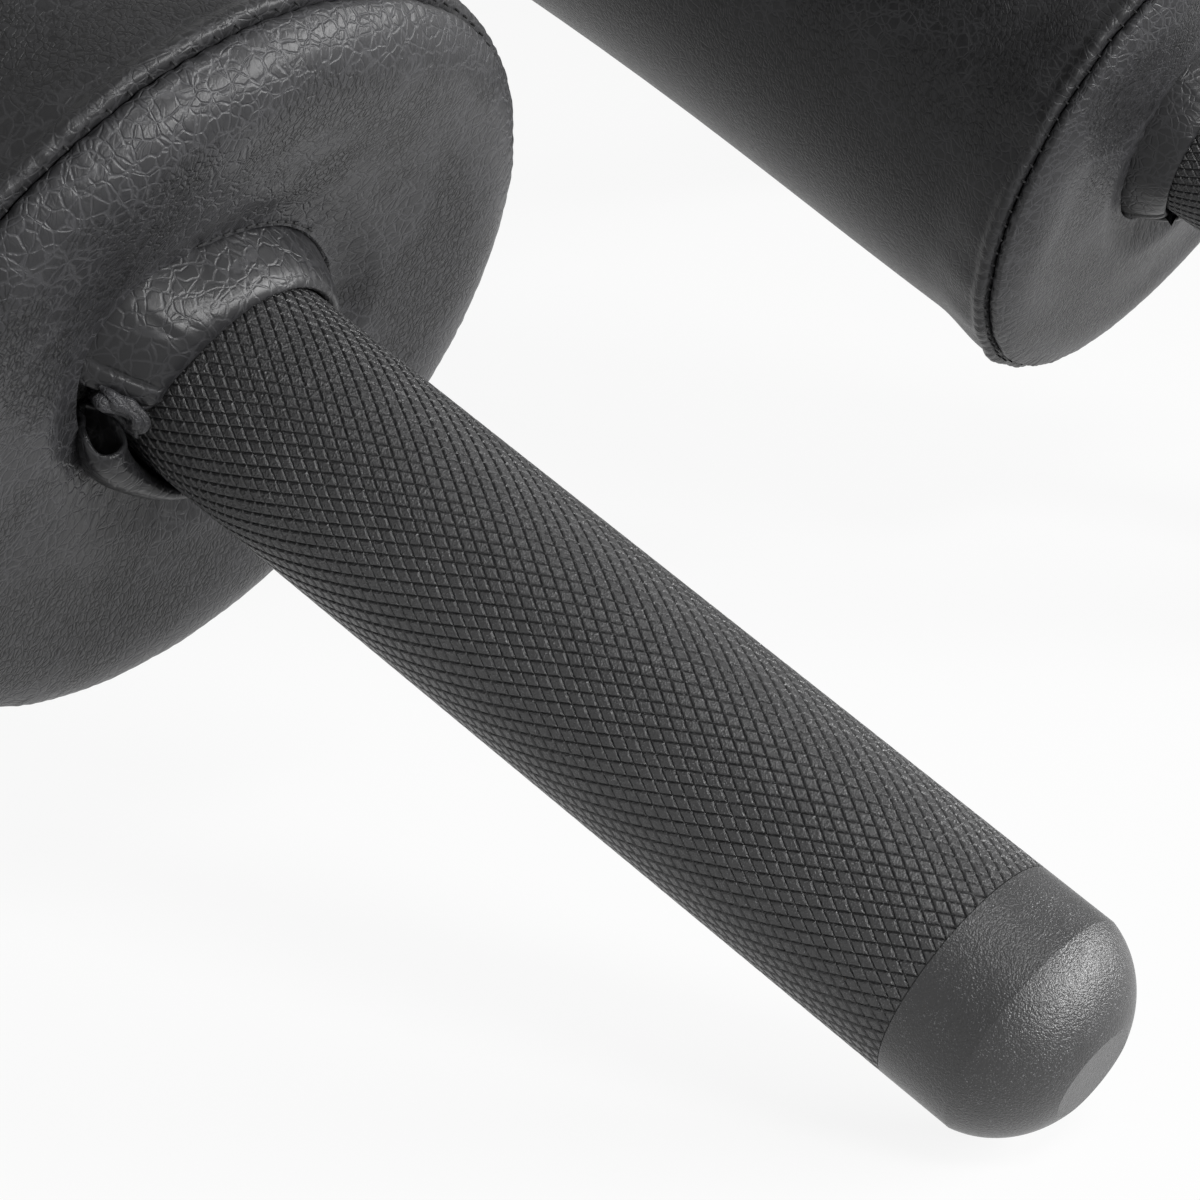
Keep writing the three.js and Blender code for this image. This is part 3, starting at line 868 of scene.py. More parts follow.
def sew_side(roll, piece):
    """Bulges, flare waves and stitch pinches of one side skin."""
    found = spots(piece)
    turn, out = polar(found)
    away = np.minimum(found[:, 2] - roll.start, roll.finish - found[:, 2])
    nearer = np.where(found[:, 2] > (roll.start + roll.finish) / 2, 1, 2)
    shift = 0.00035 * waves(turn, 2, 6, roll.seed, found[:, 2] * 30)
    for end in (1, 2):
        here = nearer == end
        ripple = waves(turn, 9, 26, roll.seed + end, away * 90)
        pucker = waves(turn, 60, 170, roll.seed + 4 * end, away * 300)
        shift += here * 0.00030 * ripple * bell(away - 0.004, 0.008)
        shift += here * 0.00005 * pucker * bell(away, 0.0034)
    shift -= 0.00018 * roll.pinch(turn) * bell(away - 0.0006, 0.0011)
    widen(found, out, shift)
    found[:, 2] += roll.seam_drift(turn) * bell(away, 0.003)
    move_to(piece, roll.settle(found))
    mark_pull(piece, bell(away, 0.0045))


print("side outline points:", len(side_outline(ARM_ROLLS["right"])))

# %% [markdown]
# ## Faces of a roll
# Each end is closed by a round of leather over foam. It puffs up just inside the seam, runs nearly
# flat and sinks to the hole that the arm passes through. The front one is seen best, so it has
# most rings, and the rear ones are plainer.

# %% Face discs
FACE_RISE = 0.0043
FACE_PUFF = 0.0007
FACE_POWER = 3.2
FACE_ROUND = 2.6
RIM_LINE = [(-1.80, 0.12), (-1.66, 0.13), (-1.50, 0.22), (-1.36, 0.42), (-1.28, 0.70), (-1.24, 1.00)]


def face_outline(roll, hole, sink, rings):
    """(radius, height over the seam plane), from the seam in to the hole and back under the skin."""
    full = roll.seam_radius + 0.0004
    line = [(roll.seam_radius + out * 1e-3, up * 1e-3) for out, up in RIM_LINE]
    rim, start_height = line[-1]
    for step in range(1, rings + 1):
        out = rim - (rim - hole) * (0.5 - 0.5 * math.cos(math.pi * step / rings))
        dome = FACE_RISE * (1 - (out / full) ** FACE_POWER) ** (1 / FACE_ROUND)
        dome += FACE_PUFF * float(bell(full - out - 0.0085, 0.0068))
        dome = max(dome, start_height + (rim - out) * 0.8) if out > rim - 0.001 else dome
        sunk = 1 - float(eased(out, hole, hole + 0.009))
        line.append((out, dome * (1 - sunk) + sink * sunk))
    line += [(hole - 0.0006, sink - 0.0012), (hole - 0.0016, sink - 0.0030)]
    line += [(hole + 0.004, sink - 0.0022), (full * 0.75, FACE_RISE * 0.70 - SKIN), (full - 0.0035, 0.00012)]
    return line


def sew_face(roll, piece, plane, up, hole):
    """Stitch pinches at the rim, soft dents over the foam and gathers next to the hole."""
    found = spots(piece)
    turn, out = polar(found)
    height = (found[:, 2] - plane) * up
    rim = roll.seam_radius - out + np.maximum(height, 0) * 0.3
    near_rim = bell(rim, 0.0030)
    pucker = waves(turn, 60, 170, roll.seed + 5, out * 240)
    dents = waves(turn, 2, 7, roll.seed + 6, out * 90) * eased(out, hole, hole + 0.012)
    gathers = waves(turn, 14, 44, roll.seed + 7, out * 260)
    move = 0.00030 * dents * eased(rim, 0.0, 0.010) + 0.00009 * pucker * bell(rim, 0.0045)
    move += 0.00011 * gathers * bell(out - hole, 0.0050)
    wider = (roll.crease(turn) - roll.hole) * (1 - eased(out, hole, hole + 0.015)) * (up > 0)
    found[:, 2] += up * (move - 0.18 * wider)
    if up > 0:
        found[:, 2] += (height > 0.0009) * roll.puff(turn, roll.seam_radius - 0.00124 - out)
    inward = 0.00024 * roll.pinch(turn) * bell(height - 0.0004, 0.0009) * near_rim
    widen(found, out, wider - inward + roll.seam_ripple(turn) * near_rim)
    found[:, 2] += roll.seam_drift(turn) * bell(rim, 0.0025)
    move_to(piece, roll.settle(found))
    mark_pull(piece, np.clip(bell(rim, 0.0075) + 0.8 * bell(out - hole, 0.008), 0, 1))


def face(roll, name, front, hole, sink, rings, steps):
    plane, up = (roll.finish, 1) if front else (roll.start, -1)
    outline = [(out, plane + up * height) for out, height in face_outline(roll, hole, sink, rings)]
    piece = spun(name, outline, steps)
    unroll(piece, roll.seam_radius)
    sew_face(roll, piece, plane, up, hole)
    return piece


print("a face rises", FACE_RISE * 1000, "mm over its seam")

# %% [markdown]
# ## Stitches
# The seam is pulled shut by a thread that shows as one short bar across the crease at each stitch.
# One bar is modelled, a six-sided rod with rounded ends, and the spin operator's copies carry it
# round the seam. Above the handle the same thread shows as a few bars where the cuff is sewn on.

# %% Stitches in a seam
THREAD = 0.00020
CUFF_BARS = 12
CUFF_BAR_STEP = math.radians(5.4)
CUFF_BARS_FROM = math.radians(62)


def thread_bars(name, length, lying, place, count, step):
    """A row of short rods round the z axis. They stand along it, or lie along the roll's round."""
    bpy.ops.object.select_all(action="DESELECT")
    bpy.ops.mesh.primitive_cylinder_add(vertices=6, radius=THREAD, depth=length)
    piece = added(name)
    bpy.ops.object.mode_set(mode="EDIT")
    bpy.ops.mesh.select_all(action="SELECT")
    bpy.ops.mesh.bevel(offset=THREAD * 0.4, segments=1)
    bpy.ops.mesh.select_all(action="SELECT")
    if lying:
        bpy.ops.transform.rotate(value=math.pi / 2, orient_axis="X", center_override=(0, 0, 0))
    bpy.ops.transform.translate(value=place)
    bpy.ops.mesh.spin(
        steps=count - 1, angle=step * (count - 1), dupli=True, center=(0, 0, 0), axis=(0, 0, 1))
    closed_skin()
    bpy.ops.object.shade_smooth()
    return piece


def stitches(roll, plane, up):
    name = roll.name + ("_front_stitches" if up > 0 else "_rear_stitches")
    place = (roll.seam_radius - 0.00062, 0, plane + up * 0.0001)
    piece = thread_bars(name, 0.0010, False, place, roll.stitches, 2 * math.pi / roll.stitches)
    found = spots(piece)
    turn, out = polar(found)
    widen(found, out, roll.seam_ripple(turn))
    found[:, 2] += roll.seam_drift(turn)
    move_to(piece, roll.settle(found))
    return piece


def cuff_stitches(side):
    """The bars in the crease between cuff and face. Turning them over turns their faces in, so that
    is put right at the end."""
    roll = ARM_ROLLS[side]
    place = (roll.hole, 0, roll.finish + 0.00240)
    piece = thread_bars(f"{side}_cuff_stitches", 0.0013, True, place, CUFF_BARS, CUFF_BAR_STEP)
    found = spots(piece)
    turn, out = polar(found)
    turn = CUFF_BARS_FROM - turn
    wider = roll.crease(turn) - roll.hole
    move_to(piece, around(turn, out + wider + 0.0009, found[:, 2] - 0.18 * wider))
    bpy.ops.object.mode_set(mode="EDIT")
    closed_skin()
    return piece


print("bars over a cuff:", CUFF_BARS)

# %% [markdown]
# ## Foam
# Under each skin is a roll of foam that was slit to go over the tube. It can't be seen in use, but
# it is a piece of the bar, so it gets its own round form and the open grain of cut foam.

# %% Foam cores
fill = Finish("foam_filling")
spot = fill.place()
# The grooves between the cells are lower and are painted darker, as painted shade.
bubbles = fill.between(fill.cells(spot, 0.0013), 0.0, 0.35)
foam_skin = fill.surface(
    Base_Color=fill.tint(bubbles, (0.018, 0.018, 0.017), (0.050, 0.050, 0.047)),
    Roughness=0.95,
    Normal=fill.raised(bubbles, 0.0003),
)


def foam_core(roll, bore, front_floor):
    under = SKIN + 0.0004
    outline = rounded([
        (bore, roll.start - 0.0012, 0.0), (roll.seam_radius - 0.012, roll.start - 0.0020, 0.0),
        (roll.seam_radius - 0.0042, roll.start + 0.0012, 0.001),
        (roll.radius - under, roll.start + FLARE, 0.0),
        (roll.radius - under, (roll.start + roll.finish) / 2, 0.0),
        (roll.radius - under, roll.finish - FLARE, 0.0),
        (roll.seam_radius - 0.0042, roll.finish - 0.0012, 0.001),
        (roll.seam_radius - 0.012, roll.finish + 0.0020, 0.0),
        (roll.seam_radius * 0.66, roll.finish + 0.0018, 0.0),
        (roll.seam_radius * 0.52, roll.finish + front_floor, 0.0), (bore, roll.finish + front_floor, 0.0),
    ])
    piece = spun(roll.name + "_foam_core", outline, 96)
    move_to(piece, roll.settle(spots(piece)))
    return piece


print("foam:", foam_skin.name)

# %% [markdown]
# ## Cuffs
# Where the handle comes out, a collar of stuffed leather closes on it. The pad is put on from the
# side, so the collar is split. The left one is hemmed at both ends. The right one is hemmed at its
# upper end, and its lower end has curled away from the handle into a mouth. A collar is spun through
# less than a full turn, its ends are filled and rounded by insets, and the curl is a move that grows
# towards the lower end.

# %% Split cuffs
CUFF_INNER = 0.01615
CUFF_LINE = [
    (0.55, -1.8), (1.00, -1.8), (1.02, 0.3), (1.00, 1.1), (0.92, 2.3), (0.81, 3.8), (0.70, 5.2), (0.59, 6.5),
    (0.48, 7.65), (0.37, 8.6), (0.26, 9.3), (0.15, 9.7), (0.06, 9.5), (0.01, 8.9), (0.00, 7.5),
    (0.00, 5.0), (0.00, 1.5),
]
MOUTH_LINE = [
    (19.0, -1.8), (21.5, -1.8), (22.2, 0.2), (23.3, 1.2), (24.1, 2.4), (24.6, 3.8), (24.6, 5.2), (24.1, 6.5),
    (23.2, 7.4), (22.1, 7.8), (21.0, 7.8), (20.0, 7.4), (19.1, 6.8), (18.4, 5.8), (18.0, 4.6),
    (17.8, 3.0), (17.7, 1.0),
]
CUFF_STEPS = 300
CUFF_SPLIT = {"right": (177.5, 198.0), "left": (252.0, 262.0)}
GAPES = {"right": 1.0, "left": 0.0}
HEM_AT = 0.122
HEM = ((0.00022, 0.00055), (0.00028, 0.00030), (0.00030, 0.00010))
LIP = ((0.00030, 0.00055), (0.00035, 0.00020), (0.00035, -0.00020), (0.00025, -0.00120), (0.00010, -0.00420))


def flowing(points, steps=3):
    """More points, on a smooth curve through the given ones."""
    given = np.array(points, float)
    last = len(given) - 1
    line = []
    for index in range(last):
        before, here, there, after = (given[min(max(index + step, 0), last)] for step in (-1, 0, 1, 2))
        for share in np.arange(steps) / steps:
            line.append(here + 0.5 * share * (there - before + share * (
                2 * before - 5 * here + 4 * there - after + share * (3 * (here - there) + after - before))))
    return np.array([*line, given[last]])


def past(turn):
    """How far round from an end of the cuff, where up to 8 degrees before it count as below zero."""
    return (turn + math.radians(8)) % (2 * math.pi) - math.radians(8)


def cuff_ends(side, piece, upper, lower):
    """A hem closes in a low round. The end that gapes gets a rolled lip round a hole."""
    bpy.ops.object.mode_set(mode="EDIT")
    close_holes()
    for angle, insets in ((upper, HEM), (lower, LIP if GAPES[side] else HEM)):
        bpy.ops.mesh.select_all(action="DESELECT")
        bpy.ops.object.mode_set(mode="OBJECT")
        for polygon in piece.data.polygons:
            here = math.atan2(polygon.center.y, polygon.center.x) % (2 * math.pi)
            polygon.select = len(polygon.vertices) > 8 and abs(here - angle) < 0.09
        bpy.ops.object.mode_set(mode="EDIT")
        for thickness, depth in insets:
            bpy.ops.mesh.inset(thickness=thickness, depth=depth, use_individual=True)
    bpy.ops.mesh.select_mode(type="VERT")
    closed_skin()
    bpy.ops.object.shade_smooth()


def cuff(side):
    roll = ARM_ROLLS[side]
    upper, lower = (math.radians(angle) for angle in CUFF_SPLIT[side])
    closed = flowing(CUFF_LINE)
    mouth = flowing(MOUTH_LINE) * 1e-3
    across, rise = CUFF_INNER + closed[:, 0] * (roll.hole - CUFF_INNER), closed[:, 1] * 1e-3
    sweep = upper + 2 * math.pi - lower
    outline = list(zip(across, roll.finish + rise))
    piece = spun(f"{side}_cuff", outline, CUFF_STEPS, sweep=sweep, start=lower)
    found = spots(piece)
    turn, out = polar(found)
    row = np.hypot(out[:, None] - across, found[:, 2:] - roll.finish - rise).argmin(1)
    from_lower, from_upper = past(turn - lower), past(upper - turn)
    gape = bell(np.maximum(from_lower, 0), 0.55) * GAPES[side]
    pulled = CUFF_INNER + closed[row, 0] * (roll.crease(turn) - CUFF_INNER)
    low = 0.0013 * bell(from_upper, 0.38) * np.clip(rise[row] / 0.0092, 0, 1)
    radius = pulled * (1 - gape) + mouth[row, 0] * gape
    height = (rise[row] - low) * (1 - gape) + mouth[row, 1] * gape
    outer = eased(closed[row, 0], 0.0, 0.25) * eased(rise[row], -0.001, 0.003)
    soft = 0.00020 * waves(turn, 3, 11, roll.seed + 3, rise[row] * 160)
    soft += 0.00004 * waves(turn, 24, 70, roll.seed + 8, rise[row] * 500)
    seam = bell(from_upper - HEM_AT, 0.016)
    radius += outer * (soft - 0.00040 * seam + 0.00025 * bell(from_upper - 0.05, 0.05))
    height += outer * (0.6 * soft - 0.00030 * seam)
    turn += 0.085 * gape * eased(mouth[row, 1], 0.0020, 0.0070) * bell(np.maximum(from_lower, 0), 0.16)
    move_to(piece, around(turn, radius, roll.finish + height))
    cuff_ends(side, piece, upper, lower)
    unroll(piece, 0.0235)
    turn, out = polar(spots(piece))
    near = bell(past(upper - turn) - HEM_AT, 0.03) + 0.5 * bell(past(turn - lower), 0.5)
    mark_pull(piece, np.clip(0.08 + 0.75 * near, 0, 1))
    return piece


print("points of a closed cuff's outline:", len(flowing(CUFF_LINE)))

# %% [markdown]
# ## Tongue in the gap
# Behind the split lies the end of the closure strip. In the right cuff's mouth it shows as a
# crumpled fold. Crumpling a sheet would need a cloth simulation and many tries, so a plain wavy sheet
# fills the depth of the gap, and three soft rods, twisted round each other, make the fold on it.

# %% Crumpled fold in the gap
FOLDS = {"right": 3, "left": 0}
FOLD_RADIUS = 0.00090
FOLD_LINE = [
    (3.3, 0.09, 24.0), (4.7, 0.11, 23.2), (5.8, 0.15, 22.3), (7.0, 0.20, 21.1), (7.9, 0.28, 20.0),
    (8.0, 0.38, 19.2), (7.2, 0.46, 18.9), (5.9, 0.50, 19.3), (4.6, 0.50, 20.0),
]


def fold_strand(name, middle, count):
    """One of the three folds of the strip, wound round the others along their middle line."""
    along = np.linspace(0, 1, len(middle))[:, None]
    ahead = np.gradient(middle, axis=0)
    ahead /= np.linalg.norm(ahead, axis=1)[:, None]
    outward = middle * (1, 1, 0)
    outward -= ahead * (outward * ahead).sum(1)[:, None]
    outward /= np.linalg.norm(outward, axis=1)[:, None]
    turn = count * 2 * math.pi / 3 + along * 3.6 + 0.4
    spread = 0.00065 + 0.0003 * np.sin(along * 9 + count)
    path = middle + spread * (np.cos(turn) * outward + np.sin(turn) * np.cross(ahead, outward))
    swell = 1.0 + 0.28 * np.sin(along[:, 0] * 17 + count * 2.1)
    swell -= 0.35 * eased(np.abs(along[:, 0] - 0.5), 0.40, 0.5)
    return swept(name, path, FOLD_RADIUS, swell=swell, sides=3)


def tongue(side):
    """The crumpled strip of the closure: a sheet deep in the gap of the cuff, and three twisted folds."""
    roll = ARM_ROLLS[side]
    upper, lower = (math.radians(angle) for angle in CUFF_SPLIT[side])
    bpy.ops.object.select_all(action="DESELECT")
    bpy.ops.mesh.primitive_grid_add(x_subdivisions=26, y_subdivisions=20, size=1)
    piece = added(f"{side}_tongue")
    found = spots(piece)
    across, along = found[:, 0] + 0.5, found[:, 1] + 0.5
    turn = upper - 0.04 + across * (lower - upper + 0.08)
    fold = np.sin(across * 9.5 + along * 3.0) * 0.0007 + np.sin(across * 21 - along * 7) * 0.0003
    out = 0.0181 + fold - 0.0006 * eased(along, 0.75, 1.0)
    rise = -0.0015 + along * (0.0078 + 0.0010 * np.sin(across * 7.0))
    move_to(piece, around(turn, out, roll.finish + rise))
    thick = piece.modifiers.new("thick", "SOLIDIFY")
    thick.thickness = 0.0009
    thick.offset = 0.0
    bpy.ops.object.modifier_apply(modifier=thick.name)
    bpy.ops.object.shade_smooth()
    line = flowing(FOLD_LINE, 9)
    turn = upper + line[:, 1] * (lower - upper)
    out, rise = line[:, 2] * 1e-3, line[:, 0] * 1e-3
    middle = around(turn, out, roll.finish + rise)
    strands = [fold_strand(f"{side}_fold_{count}", middle, count) for count in range(FOLDS[side])]
    picked(piece, *strands)
    bpy.ops.object.join()
    return piece


print("folds in the right cuff's gap:", FOLDS["right"])

# %% [markdown]
# ## Closure flap
# Along the side of each pad a flap of leather covers the slit with its hook and loop strip. It is a
# curved plate that hugs the roll: an outline with rounded corners, spun through a part of a turn.

# %% Closure flaps
FLAP_WIDTH = 0.041
FLAP_THICKNESS = 0.0015
FLAP_INSET = 0.017
FLAP_SEAM = 0.0035
CLOSURE = {"right_pad": 210.0, "left_pad": 275.0, "neck_pad": 30.0}


def closure_flap(roll):
    inner = roll.radius - 0.0004
    start, finish = roll.start + FLAP_INSET, roll.finish - FLAP_INSET
    half = FLAP_WIDTH / 2 / inner
    middle = math.radians(CLOSURE[roll.name])
    rows = np.linspace(start + 0.0009, finish - 0.0009, 60)
    outer = inner + FLAP_THICKNESS
    outline = [(outer - 0.0007, start), *[(outer, row) for row in rows], (outer - 0.0007, finish)]
    outline += [(inner, finish), *[(inner, row) for row in rows[::-12]], (inner, start)]
    piece = spun(roll.name + "_flap", outline, 48, sweep=2 * half, start=middle - half)
    bpy.ops.object.mode_set(mode="EDIT")
    close_holes()
    bpy.ops.mesh.select_all(action="DESELECT")
    bpy.ops.mesh.select_face_by_sides(number=len(outline))
    bpy.ops.mesh.inset(thickness=0.0002, depth=0.0002, use_individual=True)
    closed_skin()
    bpy.ops.object.shade_smooth_by_angle(angle=math.radians(40))
    unroll(piece, roll.radius)
    found = spots(piece)
    turn, out = polar(found)
    from_side = (half - np.abs((turn - middle + math.pi) % (2 * math.pi) - math.pi)) * inner
    from_end = np.minimum(found[:, 2] - start, finish - found[:, 2])
    from_edge = np.minimum(from_side, from_end)
    groove = bell(from_edge - FLAP_SEAM, 0.0007) * (out > outer - 0.0004)
    shift = 0.00035 * waves(turn, 2, 6, roll.seed, found[:, 2] * 30) - 0.00035 * groove
    shift += roll.side_radius(from_end + FLAP_INSET) - roll.radius
    shift -= 0.0011 * (1 - eased(from_edge, 0.0, 0.0095)) * np.clip((out - inner) / FLAP_THICKNESS, 0, 1)
    widen(found, out, shift)
    move_to(piece, roll.settle(found))
    mark_pull(piece, bell(from_edge - FLAP_SEAM, 0.003) * 0.7)
    return piece


print("flap:", FLAP_WIDTH * 1000, "mm wide")

# %% [markdown]
# ## Sewing the rolls together
# A pad is sewn inside out from one side and two faces, turned, slid over its foam and closed by the
# flap. The same steps make all three pads, so they are written once. The pad at the neck is seen
# from further away and is made with fewer points, and only the arms get cuffs.

# %% Sew the three rolls
FRONT_RINGS = 44
PLAIN_RINGS = 24


def sew_roll(roll, place, front_hole, front_sink, rear_hole, names, rings, steps, foam_floor):
    side = spun(roll.name + "_side", side_outline(roll), steps)
    unroll(side, roll.radius)
    sew_side(roll, side)
    pieces = [(side, side_leather, "synthetic_leather", ["cover"], 0.85)]
    front = face(roll, f"{roll.name}_{names[0]}_skin", True, front_hole, front_sink, rings, steps)
    rear = face(roll, f"{roll.name}_{names[1]}_skin", False, rear_hole, 0.0018, PLAIN_RINGS, steps // 2)
    pieces += [(front, face_leather, "synthetic_leather", [names[0]], 0.8)]
    pieces += [(rear, face_leather, "synthetic_leather", [names[1]], 0.8)]
    pieces += [(closure_flap(roll), side_leather, "synthetic_leather", ["closure_flap"], None)]
    pieces += [(foam_core(roll, rear_hole - 0.0001, foam_floor), foam_skin, "foam", ["foam"], 1.0)]
    for plane, up in ((roll.finish, 1), (roll.start, -1)):
        pieces += [(stitches(roll, plane, up), thread, "synthetic_leather", [], None)]
    for piece, finish, slot, nodes, padding in pieces:
        settled(piece, place, "frame", finish, [f"{roll.name}_{node}" for node in nodes])


for side, roll in ARM_ROLLS.items():
    place = arm_place(side)
    discs = ("front_disc", "rear_disc")
    sew_roll(roll, place, roll.hole + 0.0002, 0.0022, 0.0168, discs, FRONT_RINGS, SIDE_STEPS, -0.0022)
    settled(cuff(side), place, "frame", cuff_leather, [f"{side}_pad_cuff"])
    settled(tongue(side), place, "frame", fold_skin, [f"{side}_cuff_tongue"])
    settled(cuff_stitches(side), place, "frame", thread)

neck_turn = Matrix((Vector((0, 0, -1)), Vector((0, 1, 0)), Vector((1, 0, 0)))).transposed().to_4x4()
neck_place = Matrix.Translation(SHAFT_AXIS) @ neck_turn
discs = ("left_disc", "right_disc")
sew_roll(NECK_ROLL, neck_place, 0.0198, 0.0018, 0.0198, discs, PLAIN_RINGS, SIDE_STEPS // 2, 0.0004)

# %% [markdown]
# ## Shaft and arm tubes
# The shaft is one round tube, bent down at each end to the level of the sleeves. A curve with a
# round bevel is the natural way to model a bent tube: its points are worked out for the straight
# runs and the bends, and the curve is then turned into a mesh with closed ends.

# %% Bent shaft
CAMBER = Vector((0, 0.23344536, -0.97236992)) * 0.151
SHAFT_RADIUS = 0.019
BEND_RADIUS = 0.057
BEND_TURN = math.radians(60)
SHAFT_END = 0.7071
LOW_CORNER = 0.64119
HIGH_CORNER = 0.55401


def bend(before, corner, after, steps=28):
    """The points of a round bend at a corner of the path."""
    into, out_of = (corner - before).normalized(), (after - corner).normalized()
    turn = into.angle(out_of)
    centre = corner + (out_of - into).normalized() * BEND_RADIUS / math.cos(turn / 2)
    spoke = corner - into * BEND_RADIUS * math.tan(turn / 2) - centre
    axis = into.cross(out_of).normalized()
    return [centre + Matrix.Rotation(turn * step / steps, 3, axis) @ spoke for step in range(steps + 1)]


def shaft_point(along, drop):
    return SHAFT_AXIS + Vector((along, 0, 0)) + CAMBER * drop


corners = [
    (-SHAFT_END, 1), (-LOW_CORNER, 1), (-HIGH_CORNER, 0), (HIGH_CORNER, 0), (LOW_CORNER, 1), (SHAFT_END, 1)]
corners = [shaft_point(*corner) for corner in corners]
middle_line = [corners[0]]
for index in range(1, len(corners) - 1):
    middle_line += bend(*corners[index - 1:index + 2])
middle_line.append(corners[-1])
shaft = swept("bent_shaft", middle_line, SHAFT_RADIUS, sides=22)
settled(shaft, Matrix.Identity(4), "frame", tube_coat, ["main_shaft"])

# %% [markdown]
# ## Welds
# The arms are welded to the shaft, and the spindles to its ends. A weld is a bead of small
# overlapping ripples, one for each dip of the torch. It is swept like a rod whose radius swells at
# each ripple, along the line where the two tubes meet, and is coated with the same powder.

# %% Arm tubes and their welds
ARM_RADIUS = 0.016
RIPPLE = 0.0021
BEAD = 0.0021


def weld(name, ring):
    """A rippled bead along a closed line of points."""
    lengths = [(ring[index] - ring[index - 1]).length for index in range(len(ring))]
    run = np.cumsum(lengths)
    ripples = round(run[-1] / RIPPLE)
    swell = 1.0 + 0.16 * np.abs(np.sin(math.pi * ripples * run / run[-1])) - 0.08
    return swept(name, ring, BEAD, closed=True, swell=swell, sides=5)


def saddle(turn, arm, shaft):
    """Where a round of the arm's radius meets a round of the shaft's."""
    sideways = arm * math.sin(turn)
    return Vector((arm * math.cos(turn), sideways, math.sqrt(shaft ** 2 - sideways ** 2)))


for side in SIDES:
    line = [(0.011, 0.0125, 0), (ARM_RADIUS, 0.0125, 0), (ARM_RADIUS, 0.1896, 0.0006), (0.0111, 0.1896, 0)]
    tube = spun(f"{side}_arm", rounded(line, 3), 96)
    bpy.ops.object.shade_smooth_by_angle(angle=math.radians(35))
    settled(tube, arm_place(side), "frame", tube_coat, [f"{side}_arm_tube"])
    ring = [
        saddle(2 * math.pi * step / 360, ARM_RADIUS + 0.0004, SHAFT_RADIUS + 0.0004) for step in range(360)]
    settled(weld(f"{side}_arm_weld", ring), arm_place(side), "frame", tube_coat)

# %% [markdown]
# ## Metals and plastic
# The sleeves are hard chrome, their spindles turned steel and their bushings bronze. A cutting tool
# leaves fine rings round the axis, so one helper gives all three a stretched noise, soft clouds and
# rubbed places, each with its own colour. The end cap is stippled black plastic.

# %% Metals and plastic
def metal(name, colour, roughness, ring_depth, wear):
    """Turned metal: rings round the bar's axis, with clouds and rubbed places."""
    bare = Finish(name)
    point = bare.place()
    rings = bare.noise(bare.stretched(point, (1.0, 0.03, 0.03)), 0.00035, 3.0)
    cloud = bare.noise(point, 0.030, 3.0)
    scuff = bare.between(bare.noise(bare.stretched(point, (0.06, 1.0, 1.0)), 0.0012, 3.0), 0.56, 0.70)
    dull = tuple(value * 0.80 for value in colour)
    return bare.surface(
        Base_Color=bare.tint(scuff * wear + (1.0 - cloud) * 0.25, colour, dull),
        Metallic=1.0,
        Roughness=roughness + (cloud - 0.5) * 0.08 + rings * 0.05 + scuff * wear * 0.14,
        Normal=bare.raised(rings + scuff * wear * 0.5, ring_depth),
    )


hard_chrome = metal("hard_chrome", (0.62, 0.63, 0.65), 0.13, 0.000004, 0.6)
turned_steel = metal("turned_steel", (0.42, 0.43, 0.45), 0.30, 0.000012, 0.3)
bearing_bronze = metal("bearing_bronze", (0.50, 0.32, 0.14), 0.36, 0.000014, 0.3)

moulded = Finish("black_plastic")
grain_point = moulded.place()
stipple = moulded.noise(grain_point, 0.0007, 3.0)
black_plastic = moulded.surface(
    Base_Color=moulded.tint(moulded.noise(grain_point, 0.02), (0.020, 0.020, 0.021), (0.028, 0.028, 0.029)),
    Roughness=0.48 + (stipple - 0.5) * 0.14,
    Normal=moulded.raised(stipple, 0.00005),
)
print("metals:", hard_chrome.name, turned_steel.name, bearing_bronze.name)

# %% [markdown]
# ## Plate sleeves
# A plate sleeve is a chromed tube with a flange that stops the plates. It turns on bronze bushings
# on a steel spindle, which is plugged and welded into the shaft, and a plastic cap closes its end.
# All are lathe work, so each is one outline with its corners broken. The bushings, the outer washer
# and the retaining ring are hidden inside, so their CAD shapes stay and only get their metals.

# %% Sleeves
SLEEVE_AXIS = Vector((0, 0.16446312, 0.04483355))
SLEEVE_START = 0.718
FLANGE_FROM = 0.728
PLATE_SEAT = 0.740
SLEEVE_END = 1.150
CAP_FACE = 1.153


def sleeve_place(side):
    """The frame of one sleeve: z runs out along the bar from its middle."""
    sign = SIDES[side]
    turn = Matrix((Vector((0, 0, -sign)), Vector((0, 1, 0)), Vector((sign, 0, 0)))).transposed().to_4x4()
    return Matrix.Translation(SLEEVE_AXIS) @ turn


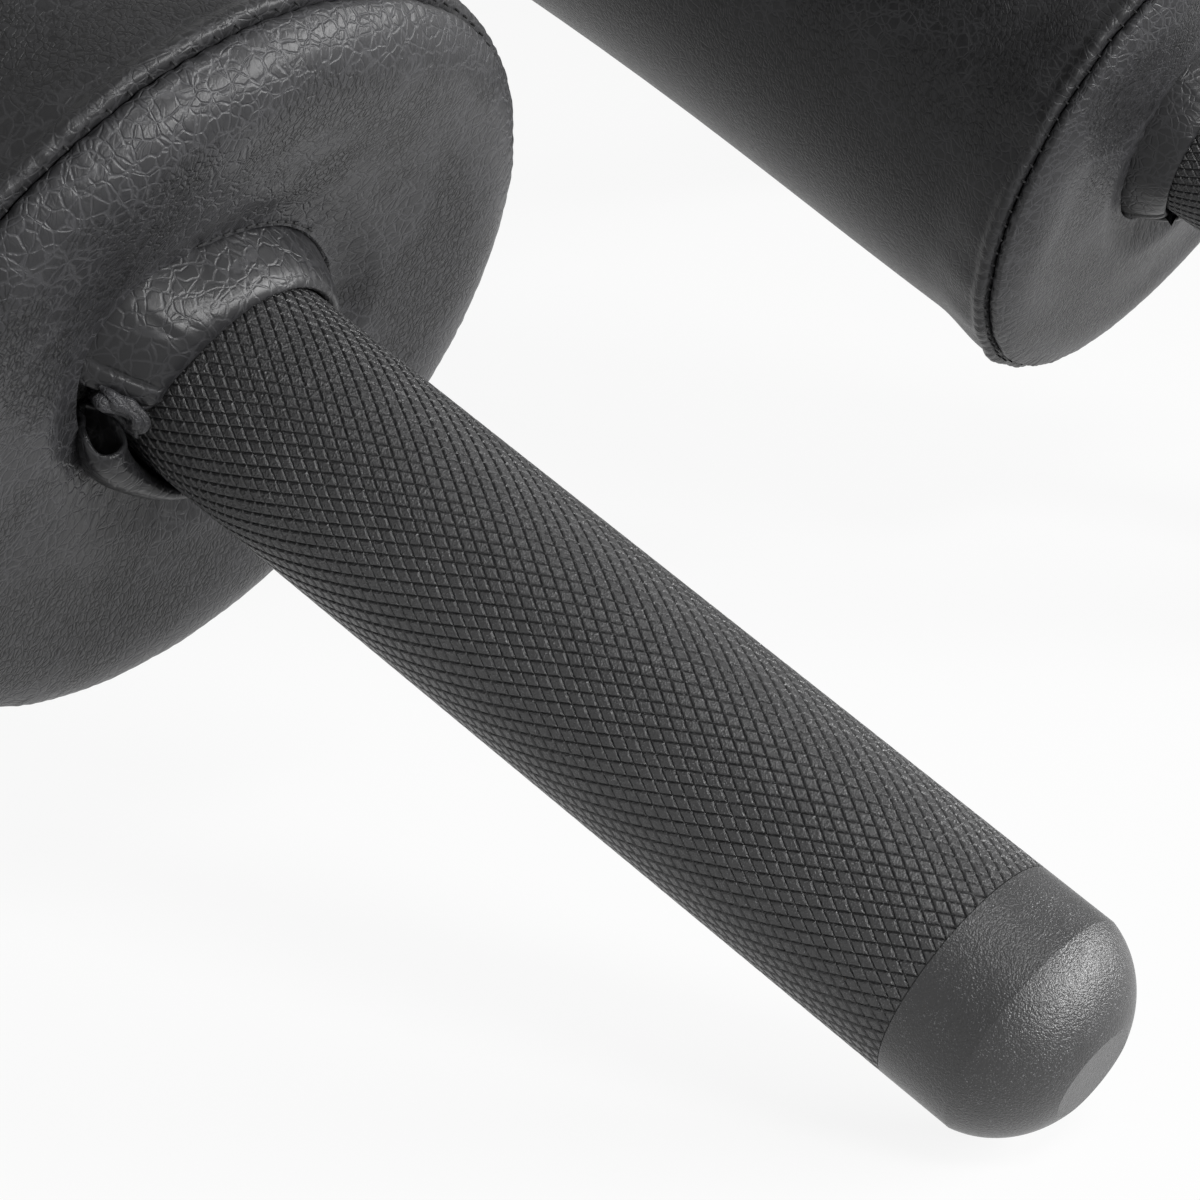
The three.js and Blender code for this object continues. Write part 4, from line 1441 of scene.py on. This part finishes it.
SLEEVE_PARTS = [
    ("spindle", "frame", "turned_steel", turned_steel, 96, [
        (0.0, 0.6744, 0), (0.0127, 0.6744, 0.001), (0.0127, 0.7074, 0), (0.0220, 0.7074, 0.0012),
        (0.0220, 0.7154, 0.0005), (0.0140, 0.7154, 0), (0.0140, 1.1397, 0.001), (0.0, 1.1397, 0)]),
    ("inner_washer", "frame", "bearing_bronze", bearing_bronze, 96, [
        (0.0143, 0.7157, 0), (0.0240, 0.7157, 0.0003), (0.0240, 0.7177, 0.0003), (0.0143, 0.7177, 0)]),
    ("tube", "sleeve", "hard_chrome", hard_chrome, 144, [
        (0.0190, SLEEVE_START, 0), (0.0250, SLEEVE_START, 0), (0.0250, SLEEVE_END, 0.0012),
        (0.0190, SLEEVE_END, 0.0004)]),
    ("flange", "sleeve", "hard_chrome", hard_chrome, 144, [
        (0.0248, SLEEVE_START, 0), (0.0330, SLEEVE_START, 0.0018), (0.0330, FLANGE_FROM, 0.0022),
        (0.0450, FLANGE_FROM, 0.0020), (0.0450, PLATE_SEAT, 0.0016), (0.0262, PLATE_SEAT, 0.0006),
        (0.0252, PLATE_SEAT - 0.0010, 0)]),
    ("end_cap", "sleeve", "black_plastic", black_plastic, 144, [
        (0.0, 1.1421, 0), (0.0184, 1.1421, 0), (0.0184, 1.1503, 0), (0.0235, 1.1503, 0.0003),
        (0.0235, CAP_FACE, 0.0012), (0.0182, CAP_FACE, 0.0005), (0.0174, CAP_FACE - 0.0009, 0.0004),
        (0.0166, CAP_FACE - 0.0009, 0.0004), (0.0158, CAP_FACE - 0.0002, 0.0005),
        (0.0, CAP_FACE - 0.0002, 0)]),
]
for side in SIDES:
    for part, rides, slot, finish, steps, line in SLEEVE_PARTS:
        piece = spun(f"{side}_{part}_turned", rounded(line), steps)
        bpy.ops.object.shade_smooth_by_angle(angle=math.radians(30))
        body = f"{side}_sleeve" if rides == "sleeve" else "frame"
        settled(piece, sleeve_place(side), body, finish, [f"{side}_sleeve_{part}"])
    ring = [Matrix.Rotation(math.tau * step / 400, 3, "Z") @ Vector((0.0198, 0, 0.7068)) for step in range(400)]
    settled(weld(f"{side}_spindle_weld", ring), sleeve_place(side), "frame", tube_coat)
    for part, finish in (
        ("inner_bushing", bearing_bronze), ("outer_bushing", bearing_bronze),
        ("outer_washer", bearing_bronze), ("retaining_ring", turned_steel)):
        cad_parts[f"{side}_sleeve_{part}"].data.materials[0] = finish

# %% [markdown]
# ## End

# %% Finish
print("the bar is dressed")
